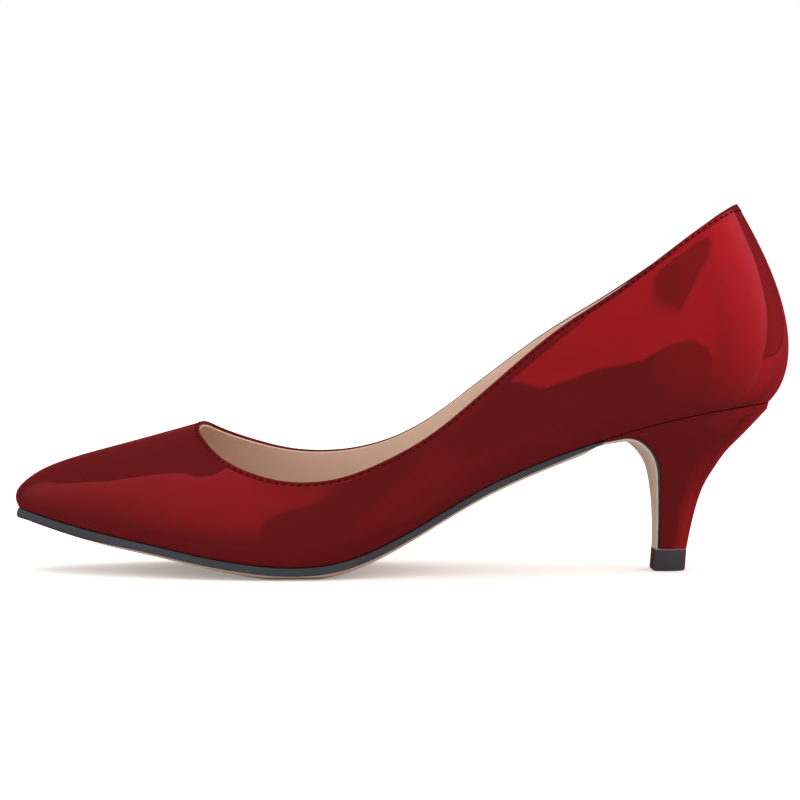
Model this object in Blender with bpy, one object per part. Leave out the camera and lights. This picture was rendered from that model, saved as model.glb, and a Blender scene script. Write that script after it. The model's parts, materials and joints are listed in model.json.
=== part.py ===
"""Kitten heel pump: a left shoe that stands empty on its sole and its top lift.

The toe points to -X, the outer side of the foot to -Y, and the floor is at z = 0.
Everything follows the last: the bottom line is the last's underside seen from the side,
the feather line is its edge seen from below, and wall sections run from the feather line
up to the topline. The sole, the insole and the heel take their outlines from these lines.
"""

from collections import namedtuple

import bmesh
import bpy
import numpy as np

# Driving sizes of the last, in metres
SHOE_LENGTH = 0.245
BALL_WIDTH = 0.076
SEAT_RISE = 0.0496
COLLAR_RISE = 0.0627

# Upper: wall, turned-under margin, bend at the feather edge and raised edge at the back
UPPER_WALL = 0.0018
LASTING_MARGIN = 0.0110
FEATHER_BEND = 0.0012
COLLAR_PEAK = 0.0021

# Soles: the outsole is thickest at the ball, where it is worn flat against the floor
SOLE_THICKNESS = 0.0038
BALL_FLAT = 0.0003
SOLE_OVERHANG = 0.0006
SOLE_BEVEL_WIDTH = 0.0050
FLAP_THICKNESS = 0.0010
FLAP_INSET = 0.0006
FLAP_LEAD = 0.0030
INSOLE_THICKNESS = 0.0030
INSOLE_CLEARANCE = 0.0007

# Heel tip, and the top lift that covers the tip and the flap
TIP_LENGTH = 0.0093
TIP_WIDTH = 0.0124
LIFT_HEIGHT = 0.0070
LIFT_OVERHANG = 0.0001
LIFT_CHAMFER = 0.0004
LIFT_SHEAR = 0.0005

# Glue line between two pieces
GLUE_GAP = 0.0003

# Shares that set smaller forms
SEAT_FRONT = 0.2367
BEVEL_SHARE = 0.35
BEVEL_MOST = 0.30
SPINE_BACK = 0.120
SPINE_TOE = 0.860
SPINE_DRIFT = 0.10
WALL_GRADING = 1.4

# Steps in the meshes
STEPS_PER_SECTION = 3
OUTLINE_STEPS = 75
WALL_SAMPLES = 80
WALL_STEPS = 10
CORNER_STEPS = 3
MARGIN_STEPS = 2
TOE_RUN = 0.0120
TOE_STATIONS = 9
SOLE_STATIONS = 56
FLAP_STATIONS = 16
HEEL_RINGS = 17
RING_STEPS = 18
SMOOTH_ANGLE = 35

# Bottom line from heel to toe. foot is the share of the shoe's length from its back,
# lift the height over the ball as a share of SEAT_RISE.
BottomRow = namedtuple("BottomRow", "foot lift")
BOTTOM_LINE = (
    BottomRow(0.000, 1.012),
    BottomRow(0.022, 1.000),
    BottomRow(0.110, 0.939),
    BottomRow(0.200, 0.834),
    BottomRow(0.300, 0.669),
    BottomRow(0.400, 0.454),
    BottomRow(0.480, 0.226),
    BottomRow(0.530, 0.101),
    BottomRow(0.575, 0.026),
    BottomRow(0.610, 0.002),
    BottomRow(0.650, 0.001),
    BottomRow(0.700, 0.026),
    BottomRow(0.750, 0.065),
    BottomRow(0.800, 0.115),
    BottomRow(0.900, 0.209),
    BottomRow(0.950, 0.266),
    BottomRow(0.996, 0.322),
)

# Sections of the upper. foot and half place the feather line: the share of the shoe's
# length from its back, and the share of BALL_WIDTH from the middle line. top_at, top_half
# and top_rise place the topline: shares of the length, of BALL_WIDTH and of COLLAR_RISE
# above the bottom line. The next four lean the wall, as shares of the section's own reach:
# outward and upward from the feather line, outward and downward from the topline.
# peak raises the collar's inner edge, as a share of COLLAR_PEAK.
Section = namedtuple(
    "Section", "foot half top_at top_half top_rise low_out low_up high_out high_down peak"
)
TOE_SECTION = Section(0.9955, 0.026, 0.7604, 0.020, 0.618, 0.103, 0.203, 0.601, 0.157, 0.0)
BACK_SECTION = Section(0.0220, 0.000, 0.0608, 0.000, 1.000, 0.144, 0.145, 0.319, 0.533, 1.0)
OUTER_SECTIONS = (
    Section(0.980, -0.066, 0.7600, -0.033, 0.614, 0.105, 0.203, 0.590, 0.160, 0.0),
    Section(0.955, -0.138, 0.7585, -0.092, 0.597, 0.110, 0.208, 0.530, 0.170, 0.0),
    Section(0.910, -0.230, 0.7500, -0.184, 0.562, 0.120, 0.225, 0.430, 0.190, 0.0),
    Section(0.850, -0.332, 0.7330, -0.270, 0.510, 0.145, 0.250, 0.310, 0.230, 0.0),
    Section(0.780, -0.427, 0.7050, -0.349, 0.461, 0.170, 0.280, 0.210, 0.280, 0.0),
    Section(0.700, -0.485, 0.6530, -0.405, 0.420, 0.190, 0.300, 0.130, 0.330, 0.0),
    Section(0.620, -0.487, 0.5870, -0.428, 0.411, 0.200, 0.300, 0.080, 0.350, 0.0),
    Section(0.540, -0.425, 0.5180, -0.423, 0.416, 0.240, 0.290, 0.050, 0.350, 0.0),
    Section(0.460, -0.351, 0.4550, -0.397, 0.424, 0.290, 0.250, 0.020, 0.350, 0.0),
    Section(0.380, -0.300, 0.3770, -0.358, 0.507, 0.330, 0.220, 0.000, 0.350, 0.0),
    Section(0.300, -0.285, 0.3000, -0.322, 0.630, 0.300, 0.210, 0.020, 0.350, 0.0),
    Section(0.220, -0.300, 0.2306, -0.290, 0.716, 0.240, 0.200, 0.060, 0.380, 0.0),
    Section(0.150, -0.319, 0.1710, -0.258, 0.821, 0.170, 0.180, 0.100, 0.420, 0.0),
    Section(0.090, -0.288, 0.1245, -0.218, 0.915, 0.150, 0.165, 0.170, 0.470, 0.0),
    Section(0.050, -0.217, 0.0816, -0.145, 0.990, 0.148, 0.155, 0.250, 0.505, 0.4),
)
INNER_SECTIONS = (
    Section(0.980, 0.118, 0.7595, 0.072, 0.619, 0.105, 0.203, 0.590, 0.160, 0.0),
    Section(0.955, 0.184, 0.7550, 0.136, 0.616, 0.110, 0.208, 0.530, 0.170, 0.0),
    Section(0.910, 0.283, 0.7430, 0.217, 0.608, 0.120, 0.225, 0.430, 0.190, 0.0),
    Section(0.850, 0.376, 0.7225, 0.300, 0.594, 0.145, 0.250, 0.310, 0.230, 0.0),
    Section(0.780, 0.454, 0.6870, 0.366, 0.565, 0.170, 0.280, 0.210, 0.280, 0.0),
    Section(0.700, 0.492, 0.6390, 0.401, 0.538, 0.180, 0.300, 0.130, 0.330, 0.0),
    Section(0.620, 0.467, 0.5810, 0.409, 0.519, 0.200, 0.290, 0.080, 0.350, 0.0),
    Section(0.540, 0.388, 0.5200, 0.402, 0.488, 0.260, 0.260, 0.050, 0.350, 0.0),
    Section(0.460, 0.298, 0.4590, 0.382, 0.478, 0.320, 0.220, 0.020, 0.350, 0.0),
    Section(0.380, 0.248, 0.3770, 0.351, 0.538, 0.350, 0.200, 0.000, 0.350, 0.0),
    Section(0.300, 0.247, 0.3000, 0.322, 0.634, 0.320, 0.200, 0.020, 0.350, 0.0),
    Section(0.220, 0.285, 0.2306, 0.290, 0.708, 0.250, 0.200, 0.060, 0.380, 0.0),
    Section(0.150, 0.315, 0.1710, 0.258, 0.797, 0.170, 0.180, 0.100, 0.420, 0.0),
    Section(0.090, 0.288, 0.1245, 0.218, 0.890, 0.150, 0.165, 0.170, 0.470, 0.0),
    Section(0.050, 0.217, 0.0816, 0.145, 0.982, 0.148, 0.155, 0.250, 0.505, 0.4),
)

# Thickness of the outsole from the toe to the breast, as shares of SOLE_THICKNESS.
SoleRow = namedtuple("SoleRow", "foot thick")
SOLE_ROWS = (
    SoleRow(0.220, 0.460),
    SoleRow(0.260, 0.560),
    SoleRow(0.350, 0.720),
    SoleRow(0.480, 0.710),
    SoleRow(0.550, 0.860),
    SoleRow(0.600, 1.000),
    SoleRow(0.660, 1.000),
    SoleRow(0.720, 0.880),
    SoleRow(0.800, 0.770),
    SoleRow(0.900, 0.720),
    SoleRow(1.000, 0.720),
)
# Heel levels from the seat down to the tip. front is the share of the shoe's length from its
# back, front_up and back_up are shares of the seat's height, and long and wide say how far
# the level's length and width still are from the tip's (0) to the seat's (1).
HeelRow = namedtuple("HeelRow", "front front_up back_up long wide")
HEEL_ROWS = (
    HeelRow(0.2360, 0.775, 0.962, 0.986, 0.972),
    HeelRow(0.2130, 0.787, 0.886, 0.769, 0.834),
    HeelRow(0.1886, 0.753, 0.783, 0.508, 0.608),
    HeelRow(0.1751, 0.691, 0.697, 0.330, 0.447),
    HeelRow(0.1686, 0.622, 0.616, 0.224, 0.320),
    HeelRow(0.1657, 0.515, 0.515, 0.132, 0.188),
    HeelRow(0.1647, 0.393, 0.393, 0.070, 0.105),
    HeelRow(0.1645, 0.262, 0.262, 0.028, 0.039),
)
TIP_FRONT = 0.1653


def smooth_curve(places, values, closed=False):
    """Return a function that runs a smooth cubic through the values at the places."""
    places = np.asarray(places, float)
    values = np.asarray(values, float).reshape(len(places), -1)
    steps = np.diff(places)
    slopes = np.diff(values, axis=0) / steps[:, None]
    count = len(places)
    system = np.eye(count)
    target = np.zeros_like(values)
    for i in range(0 if closed else 1, count - 1):
        before = i - 1 if i else count - 2
        system[i, i] = 2 * (steps[before] + steps[i])
        system[i, before] = steps[before]
        system[i, i + 1] += steps[i]
        target[i] = 6 * (slopes[i] - slopes[before])
    if closed:
        system[-1, 0] = -1
    bend = np.linalg.solve(system, target)

    def at(place):
        place = np.asarray(place, float)
        i = np.clip(np.searchsorted(places, place, side="right") - 1, 0, len(steps) - 1)
        step = steps[i][..., None]
        past = (place - places[i])[..., None]
        left = (places[i + 1] - place)[..., None]
        bow = (bend[i] * left**3 + bend[i + 1] * past**3) / (6 * step)
        start = (values[i] / step - bend[i] * step / 6) * left
        end = (values[i + 1] / step - bend[i + 1] * step / 6) * past
        return bow + start + end

    return at


def x_of(foot):
    """Place along the shoe of a share of its length, counted from the back."""
    return SHOE_LENGTH * (0.5 - np.asarray(foot, float))


def foot_of(x):
    """Share of the length, counted from the back, of a place along the shoe."""
    return 0.5 - np.asarray(x, float) / SHOE_LENGTH


BALL_HEIGHT = SOLE_THICKNESS + GLUE_GAP - BALL_FLAT
SEAT_HEIGHT = BALL_HEIGHT + SEAT_RISE
bottom_curve = smooth_curve([row.foot for row in BOTTOM_LINE], [row.lift for row in BOTTOM_LINE])
sole_curve = smooth_curve([row.foot for row in SOLE_ROWS], [row.thick for row in SOLE_ROWS])


def bottom(x):
    """Height of the last's underside, which is straight across the foot."""
    return BALL_HEIGHT + SEAT_RISE * bottom_curve(foot_of(x))[..., 0]


def over_bottom(x, distance):
    """Height of a surface that lies a distance off the underside, square to it."""
    slope = (bottom(x + GLUE_GAP) - bottom(x - GLUE_GAP)) / (2 * GLUE_GAP)
    return bottom(x) + distance * np.sqrt(1 + slope**2)


def unit(vectors):
    """Vectors of length one."""
    return vectors / np.linalg.norm(vectors, axis=-1, keepdims=True)


def plan_normals(points):
    """Level directions that point out of a closed line, which runs from the toe down the
    outer side first."""
    run = np.roll(points, -1, axis=0) - np.roll(points, 1, axis=0)
    return unit(np.column_stack([run[:, 1], -run[:, 0], np.zeros(len(run))]))


def section_lines(steps):
    """Feather line, topline and wall leans, with a number of steps between sections."""
    rows = (TOE_SECTION, *OUTER_SECTIONS, BACK_SECTION, *reversed(INNER_SECTIONS), TOE_SECTION)
    feet = np.array([(x_of(row.foot), BALL_WIDTH * row.half) for row in rows])
    tops = np.array([
        (x_of(row.top_at), BALL_WIDTH * row.top_half, COLLAR_RISE * row.top_rise)
        for row in rows
    ])
    leans = np.array([
        (row.low_out, row.low_up, row.high_out, row.high_down, row.peak) for row in rows
    ])
    foot_steps = np.linalg.norm(np.diff(feet, axis=0), axis=1)
    top_steps = np.linalg.norm(np.diff(tops, axis=0), axis=1)
    places = np.concatenate([[0.0], np.cumsum((foot_steps + top_steps) / 2)])
    curve = smooth_curve(places, np.hstack([feet, tops, leans]), closed=True)
    spread = np.arange((len(rows) - 1) * steps) / steps
    table = curve(np.interp(spread, np.arange(len(rows)), places))
    feather = np.column_stack([table[:, 0], table[:, 1], bottom(table[:, 0])])
    topline = table[:, 2:5].copy()
    topline[:, 2] += bottom(topline[:, 0])
    return feather, topline, table[:, 5:]


class Outline:
    """The feather line moved outward by a distance, read as a width on either side."""

    def __init__(self, distance):
        line = section_lines(OUTLINE_STEPS)[0]
        line = line + distance * plan_normals(line)
        toe = int(np.argmin(line[:, 0]))
        line = np.roll(line, -toe, axis=0)
        back = int(np.argmax(line[:, 0]))
        self.toe_x = line[0, 0]
        self.back_x = line[back, 0]
        self.outer = line[: back + 1]
        self.inner = np.vstack([line[back:], line[:1]])[::-1]

    def sides(self, x):
        """The line's y on the outer and the inner side at x."""
        outer = np.interp(x, self.outer[:, 0], self.outer[:, 1])
        inner = np.interp(x, self.inner[:, 0], self.inner[:, 1])
        return outer, inner


def bezier(start, start_pull, end_pull, end, steps):
    """Points on cubic curves, one curve for each row of the four arrays."""
    t = np.linspace(0.0, 1.0, steps)[None, :, None]
    start, start_pull, end_pull, end = (
        points[:, None, :] for points in (start, start_pull, end_pull, end)
    )
    near = start * (1 - t) ** 3 + 3 * start_pull * t * (1 - t) ** 2
    return near + 3 * end_pull * t**2 * (1 - t) + end * t**3


def along(lines, shares, skip):
    """Points at shares of the lengths of many lines, past a first distance to skip."""
    hops = np.linalg.norm(np.diff(lines, axis=1), axis=2)
    runs = np.concatenate([np.zeros((len(lines), 1)), np.cumsum(hops, axis=1)], axis=1)
    result = np.empty((len(lines), len(shares), 3))
    for i, (line, run) in enumerate(zip(lines, runs)):
        wanted = skip + (run[-1] - skip) * shares
        for axis in range(3):
            result[i, :, axis] = np.interp(wanted, run, line[:, axis])
    return result


def wall_curves(feather, topline, leans):
    """Side curves of the upper, from the feather line up to the topline."""
    up = np.array([0.0, 0.0, 1.0])
    foot_out = plan_normals(feather)
    top_out = plan_normals(topline)
    height = np.linalg.norm(topline - feather, axis=1, keepdims=True)
    low = feather + height * (leans[:, 0:1] * foot_out + leans[:, 1:2] * up)
    high = topline + height * (leans[:, 2:3] * top_out - leans[:, 3:4] * up)
    return bezier(feather, low, high, topline, WALL_SAMPLES)


def upper_outside(steps):
    """Grid of the upper's outer face: margin, rounded feather edge and wall."""
    feather, topline, leans = section_lines(steps)
    walls = wall_curves(feather, topline, leans)
    spine = np.zeros_like(feather)
    spine[:, 0] = np.clip(feather[:, 0], x_of(SPINE_TOE), x_of(SPINE_BACK))
    spine[:, 1] = SPINE_DRIFT * feather[:, 1]
    inward = spine - feather
    inward[:, 2] = 0.0
    inward = unit(inward)

    def under(distance):
        points = feather + distance * inward
        points[:, 2] = bottom(points[:, 0])
        return points

    bend = UPPER_WALL + FEATHER_BEND
    columns = [under(distance) for distance in np.linspace(LASTING_MARGIN, bend, MARGIN_STEPS + 1)]
    wall = along(walls, np.linspace(0.0, 1.0, WALL_STEPS + 1) ** WALL_GRADING, bend)
    for step in range(1, CORNER_STEPS):
        t = step / CORNER_STEPS
        columns.append(
            columns[MARGIN_STEPS] * (1 - t) ** 2 + 2 * feather * t * (1 - t) + wall[:, 0] * t**2
        )
    columns.extend(wall[:, i] for i in range(WALL_STEPS + 1))
    return np.stack(columns, axis=1), leans[:, 4]


def grid_normals(grid):
    """Outward directions of a grid that is closed around the shoe."""
    around = np.roll(grid, -1, axis=0) - np.roll(grid, 1, axis=0)
    return unit(np.cross(around, np.gradient(grid, axis=1)))


def loft(name, rings, closed=False):
    """Make one solid through rings of points; strips close its ends unless it is a loop."""
    mesh = bmesh.new()
    rows = [[mesh.verts.new(point) for point in ring] for ring in rings]
    count = len(rings)
    size = len(rings[0])
    for i in range(count if closed else count - 1):
        near, far = rows[i], rows[(i + 1) % count]
        for j in range(size):
            k = (j + 1) % size
            mesh.faces.new((near[j], near[k], far[k], far[j]))
    if not closed:
        for row in (rows[0], rows[-1]):
            for j in range((size - 1) // 2):
                corners = (row[j], row[j + 1], row[size - 2 - j], row[size - 1 - j])
                mesh.faces.new(tuple(dict.fromkeys(corners)))
    bmesh.ops.recalc_face_normals(mesh, faces=mesh.faces)
    data = bpy.data.meshes.new(name)
    mesh.to_mesh(data)
    mesh.free()
    data.shade_smooth()
    data.set_sharp_from_angle(angle=np.radians(SMOOTH_ANGLE))
    return bpy.data.objects.new(name, data)


def make_upper():
    """Hollow upper with a turned-under lasting margin, open at the collar and underneath."""
    outside, peak = upper_outside(STEPS_PER_SECTION)
    inside = outside - UPPER_WALL * grid_normals(outside)
    inside[:, -1, 2] += COLLAR_PEAK * peak
    loops = np.concatenate([outside, inside[:, ::-1]], axis=1)
    return loft("upper", loops, closed=True)


def sole_ring(outer, inner, top, lower):
    """Cross section of a sole: flat top, upright sides and a bevel along either lower edge."""
    side = BEVEL_SHARE * top + (1 - BEVEL_SHARE) * lower
    bevel = min(SOLE_BEVEL_WIDTH, BEVEL_MOST * (inner - outer))
    return [
        (top[0], outer, top[1]),
        (side[0], outer, side[1]),
        (lower[0], outer + bevel, lower[1]),
        (lower[0], inner - bevel, lower[1]),
        (side[0], inner, side[1]),
        (top[0], inner, top[1]),
    ]


class Seat:
    """Outline that the heel takes from the seat, cut straight across at the breast."""

    def __init__(self):
        outline = Outline(0.0)
        self.shares = 1 - (1 - np.linspace(0.0, 1.0, RING_STEPS + 1)) ** 2
        self.length = outline.back_x - x_of(SEAT_FRONT)
        self.x = x_of(SEAT_FRONT) + self.length * self.shares
        self.outer, self.inner = outline.sides(self.x)
        self.outer[-1] = self.inner[-1] = 0.5 * (self.outer[-1] + self.inner[-1])
        self.width = (self.inner - self.outer).max()

    def ring(self, xs, zs, width):
        """The outline at another width, along the places xs and heights zs."""
        narrow = width / self.width
        near = np.column_stack([xs, self.outer * narrow, zs])
        far = np.column_stack([xs, self.inner * narrow, zs])[:-1]
        return np.vstack([near, far[::-1]])


def heel_levels(seat, count):
    """Levels of the heel, as rows of front x and z, back x and z, and width."""
    rows = [
        (
            x_of(row.front),
            SEAT_HEIGHT * row.front_up,
            x_of(row.front) + TIP_LENGTH + row.long * (seat.length - TIP_LENGTH),
            SEAT_HEIGHT * row.back_up,
            TIP_WIDTH + row.wide * (seat.width - TIP_WIDTH),
        )
        for row in HEEL_ROWS
    ]
    tip = LIFT_HEIGHT + GLUE_GAP
    rows.append((x_of(TIP_FRONT), tip, x_of(TIP_FRONT) + TIP_LENGTH, tip, TIP_WIDTH))
    rows = np.array(rows)
    hops = np.linalg.norm(np.diff(rows[:, 2:4], axis=0), axis=1)
    places = np.concatenate([[0.0], np.cumsum(hops)])
    return smooth_curve(places, rows)(np.linspace(0.0, places[-1], count))


def make_heel():
    """Covered heel: the seat's outline under the upper, drawn in and down to the tip."""
    seat = Seat()
    rings = [seat.ring(seat.x, bottom(seat.x) - GLUE_GAP, seat.width)]
    for front_x, front_z, back_x, back_z, width in heel_levels(seat, HEEL_RINGS):
        xs = front_x + (back_x - front_x) * seat.shares
        zs = front_z + (back_z - front_z) * seat.shares
        rings.append(seat.ring(xs, zs, width))
    return loft("heel", rings)


def make_top_lift():
    """Rubber top piece under the heel tip and the end of the flap."""
    seat = Seat()
    cover = FLAP_THICKNESS + GLUE_GAP
    front = x_of(TIP_FRONT) - cover
    length = TIP_LENGTH + cover
    levels = (
        (LIFT_HEIGHT, 0.0, 0.0),
        (LIFT_CHAMFER, LIFT_SHEAR, 0.0),
        (0.0, LIFT_SHEAR, LIFT_CHAMFER),
    )
    rings = []
    for height, shear, inset in levels:
        xs = front - shear + inset + (length - 2 * inset) * seat.shares
        width = TIP_WIDTH + 2 * (LIFT_OVERHANG - inset)
        rings.append(seat.ring(xs, np.full_like(xs, height), width))
    return loft("top_lift", rings)


def make_outsole():
    """Outsole from the toe to the breast, then down the heel's breast as a thin flap."""
    edge = Outline(SOLE_OVERHANG)
    toe_xs = edge.toe_x + TOE_RUN * (np.arange(1, TOE_STATIONS + 1) / TOE_STATIONS) ** 2
    rear_xs = np.linspace(toe_xs[-1], x_of(SEAT_FRONT) - FLAP_LEAD, SOLE_STATIONS)[1:]
    xs = np.concatenate([toe_xs, rear_xs])
    outer, inner = edge.sides(xs)
    thick = SOLE_THICKNESS * sole_curve(foot_of(xs))[:, 0]

    seat = Seat()
    levels = heel_levels(seat, FLAP_STATIONS)
    breast = levels[:, 0:2]
    down = unit(np.gradient(breast, axis=0))
    heelward = np.column_stack([-down[:, 1], down[:, 0]])
    narrow = levels[:, 4] / seat.width
    path = np.vstack([
        np.column_stack([xs, bottom(xs) - GLUE_GAP]),
        breast - GLUE_GAP * heelward,
    ])
    outer = np.concatenate([outer, seat.outer[0] * narrow + FLAP_INSET])
    inner = np.concatenate([inner, seat.inner[0] * narrow - FLAP_INSET])
    thinning = np.sqrt(np.linspace(0.0, 1.0, FLAP_STATIONS))
    thick = np.concatenate([thick, thick[-1] + (FLAP_THICKNESS - thick[-1]) * thinning])

    run = unit(np.gradient(path, axis=0))
    outward = np.column_stack([run[:, 1], -run[:, 0]])
    lower = path + outward * thick[:, None]
    lower[:, 1] = np.maximum(lower[:, 1], 0.0)
    return loft("outsole", [sole_ring(*parts) for parts in zip(outer, inner, path, lower)])


def make_insole():
    """Insole board and sock, lying on the turned-under margin inside the upper."""
    edge = Outline(-(UPPER_WALL + INSOLE_CLEARANCE))
    turns = np.pi * np.arange(1, SOLE_STATIONS) / SOLE_STATIONS
    xs = edge.toe_x + (edge.back_x - edge.toe_x) * (0.5 - 0.5 * np.cos(turns))
    outer, inner = edge.sides(xs)
    low = over_bottom(xs, UPPER_WALL + GLUE_GAP)
    high = over_bottom(xs, UPPER_WALL + GLUE_GAP + INSOLE_THICKNESS)
    rings = [
        [(x, a, top), (x, a, base), (x, b, base), (x, b, top)]
        for x, a, b, base, top in zip(xs, outer, inner, low, high)
    ]
    return loft("insole", rings)


def finish(part, colour, roughness, coat=0.0):
    """Give a piece its own material and put it in the shoe's collection."""
    material = bpy.data.materials.new(part.name + "_finish")
    material.use_nodes = True
    shader = material.node_tree.nodes["Principled BSDF"]
    shader.inputs["Base Color"].default_value = (*colour, 1.0)
    shader.inputs["Roughness"].default_value = roughness
    shader.inputs["Metallic"].default_value = 0.0
    shader.inputs["Coat Weight"].default_value = coat
    part.data.materials.append(material)
    bpy.data.collections["kitten_heel_pump"].objects.link(part)


def main():
    """Clear the file and build the shoe."""
    for old in list(bpy.data.objects):
        bpy.data.objects.remove(old)
    bpy.context.scene.collection.children.link(bpy.data.collections.new("kitten_heel_pump"))
    finish(make_upper(), (0.270, 0.010, 0.016), 0.12, coat=1.0)
    finish(make_insole(), (0.450, 0.290, 0.200), 0.70)
    finish(make_outsole(), (0.300, 0.240, 0.200), 0.55)
    finish(make_heel(), (0.150, 0.009, 0.011), 0.12, coat=1.0)
    finish(make_top_lift(), (0.035, 0.036, 0.042), 0.50)


main()
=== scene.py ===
"""Kitten heel pump in red patent leather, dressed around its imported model.

The toe points to -X, the outer side of the foot to -Y, and the floor is at z = 0. The
upper, the soles and the heel follow the last that the solids were made on, with finer
steps, rounded edges, a lining, stitches and the finish of every surface.
"""

import json
import math
from collections import namedtuple
from functools import partial

import bmesh
import bpy
import numpy as np
from bpy.props import FloatProperty, FloatVectorProperty, PointerProperty
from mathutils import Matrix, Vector

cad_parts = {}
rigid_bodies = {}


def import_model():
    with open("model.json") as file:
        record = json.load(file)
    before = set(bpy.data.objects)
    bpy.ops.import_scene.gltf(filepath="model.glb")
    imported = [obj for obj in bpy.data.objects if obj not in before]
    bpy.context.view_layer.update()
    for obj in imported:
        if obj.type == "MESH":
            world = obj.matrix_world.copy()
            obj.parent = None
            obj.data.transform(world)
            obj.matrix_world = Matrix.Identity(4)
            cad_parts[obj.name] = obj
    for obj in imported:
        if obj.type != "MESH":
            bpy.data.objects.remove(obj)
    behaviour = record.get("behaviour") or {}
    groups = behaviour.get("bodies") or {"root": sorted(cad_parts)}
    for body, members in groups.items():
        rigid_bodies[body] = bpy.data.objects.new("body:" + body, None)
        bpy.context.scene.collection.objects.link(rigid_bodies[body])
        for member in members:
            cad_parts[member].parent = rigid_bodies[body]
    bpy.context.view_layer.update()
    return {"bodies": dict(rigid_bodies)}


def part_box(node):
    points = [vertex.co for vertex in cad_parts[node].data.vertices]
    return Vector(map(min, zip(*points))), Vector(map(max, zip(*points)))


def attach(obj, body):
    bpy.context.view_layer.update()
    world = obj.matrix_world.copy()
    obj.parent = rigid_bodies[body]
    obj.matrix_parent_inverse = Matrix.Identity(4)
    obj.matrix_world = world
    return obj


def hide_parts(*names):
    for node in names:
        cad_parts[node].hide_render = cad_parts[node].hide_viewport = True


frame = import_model()

BODY = next(iter(frame["bodies"]))

bl_info = {
    "name": "Kitten Heel Pump",
    "version": (1, 0, 0),
    "blender": (4, 5, 0),
    "location": "View3D > Sidebar > Pump",
    "description": "Dresses a kitten heel pump: patent upper, lining, stitches, soles and heel",
    "category": "Add Mesh",
}

# Driving sizes of the last, in metres
SHOE_LENGTH = 0.245
BALL_WIDTH = 0.076
SEAT_RISE = 0.0496
COLLAR_RISE = 0.0627

# Upper, soles and heel as the solids have them
UPPER_WALL = 0.0018
LASTING_MARGIN = 0.0110
COLLAR_PEAK = 0.0021
SOLE_THICKNESS = 0.0038
BALL_FLAT = 0.0003
SOLE_OVERHANG = 0.0006
SOLE_BEVEL_WIDTH = 0.0050
FLAP_THICKNESS = 0.0010
FLAP_INSET = 0.0006
FLAP_LEAD = 0.0030
INSOLE_THICKNESS = 0.0030
TIP_LENGTH = 0.0093
TIP_WIDTH = 0.0124
LIFT_HEIGHT = 0.0070
LIFT_OVERHANG = 0.0001
LIFT_SHEAR = 0.0005
GLUE_GAP = 0.0003

# Shares that set smaller forms
SEAT_FRONT = 0.2367
TIP_FRONT = 0.1653
BEVEL_SHARE = 0.35
BEVEL_MOST = 0.30
SPINE_BACK = 0.120
SPINE_TOE = 0.860
SPINE_DRIFT = 0.10

# How far a dressed piece may stand off the solid that it replaces
FIT_TOLERANCE = 0.0025

# Bottom line from heel to toe. foot is the share of the shoe's length from its back,
# lift the height over the ball as a share of SEAT_RISE.
BottomRow = namedtuple("BottomRow", "foot lift")
BOTTOM_LINE = (
    BottomRow(0.000, 1.012),
    BottomRow(0.022, 1.000),
    BottomRow(0.110, 0.939),
    BottomRow(0.200, 0.834),
    BottomRow(0.300, 0.669),
    BottomRow(0.400, 0.454),
    BottomRow(0.480, 0.226),
    BottomRow(0.530, 0.101),
    BottomRow(0.575, 0.026),
    BottomRow(0.610, 0.002),
    BottomRow(0.650, 0.001),
    BottomRow(0.700, 0.026),
    BottomRow(0.750, 0.065),
    BottomRow(0.800, 0.115),
    BottomRow(0.900, 0.209),
    BottomRow(0.950, 0.266),
    BottomRow(0.996, 0.322),
)

# Sections of the upper. foot and half place the feather line: the share of the shoe's
# length from its back, and the share of BALL_WIDTH from the middle line. top_at, top_half
# and top_rise place the topline: shares of the length, of BALL_WIDTH and of COLLAR_RISE
# above the bottom line. The next four lean the wall, as shares of the section's own reach:
# outward and upward from the feather line, outward and downward from the topline.
# peak raises the collar's inner edge, as a share of COLLAR_PEAK.
Section = namedtuple(
    "Section", "foot half top_at top_half top_rise low_out low_up high_out high_down peak"
)
TOE_SECTION = Section(0.9955, 0.026, 0.7604, 0.020, 0.618, 0.103, 0.203, 0.601, 0.157, 0.0)
BACK_SECTION = Section(0.0220, 0.000, 0.0608, 0.000, 1.000, 0.144, 0.145, 0.319, 0.533, 1.0)
OUTER_SECTIONS = (
    Section(0.980, -0.066, 0.7600, -0.033, 0.614, 0.105, 0.203, 0.590, 0.160, 0.0),
    Section(0.955, -0.138, 0.7585, -0.092, 0.597, 0.110, 0.208, 0.530, 0.170, 0.0),
    Section(0.910, -0.230, 0.7500, -0.184, 0.562, 0.120, 0.225, 0.430, 0.190, 0.0),
    Section(0.850, -0.332, 0.7330, -0.270, 0.510, 0.145, 0.250, 0.310, 0.230, 0.0),
    Section(0.780, -0.427, 0.7050, -0.349, 0.461, 0.170, 0.280, 0.210, 0.280, 0.0),
    Section(0.700, -0.485, 0.6530, -0.405, 0.420, 0.190, 0.300, 0.130, 0.330, 0.0),
    Section(0.620, -0.487, 0.5870, -0.428, 0.411, 0.200, 0.300, 0.080, 0.350, 0.0),
    Section(0.540, -0.425, 0.5180, -0.423, 0.416, 0.240, 0.290, 0.050, 0.350, 0.0),
    Section(0.460, -0.351, 0.4550, -0.397, 0.424, 0.290, 0.250, 0.020, 0.350, 0.0),
    Section(0.380, -0.300, 0.3770, -0.358, 0.507, 0.330, 0.220, 0.000, 0.350, 0.0),
    Section(0.300, -0.285, 0.3000, -0.322, 0.630, 0.300, 0.210, 0.020, 0.350, 0.0),
    Section(0.220, -0.300, 0.2306, -0.290, 0.716, 0.240, 0.200, 0.060, 0.380, 0.0),
    Section(0.150, -0.319, 0.1710, -0.258, 0.821, 0.170, 0.180, 0.100, 0.420, 0.0),
    Section(0.090, -0.288, 0.1245, -0.218, 0.915, 0.150, 0.165, 0.170, 0.470, 0.0),
    Section(0.050, -0.217, 0.0816, -0.145, 0.990, 0.148, 0.155, 0.250, 0.505, 0.4),
)
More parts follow.
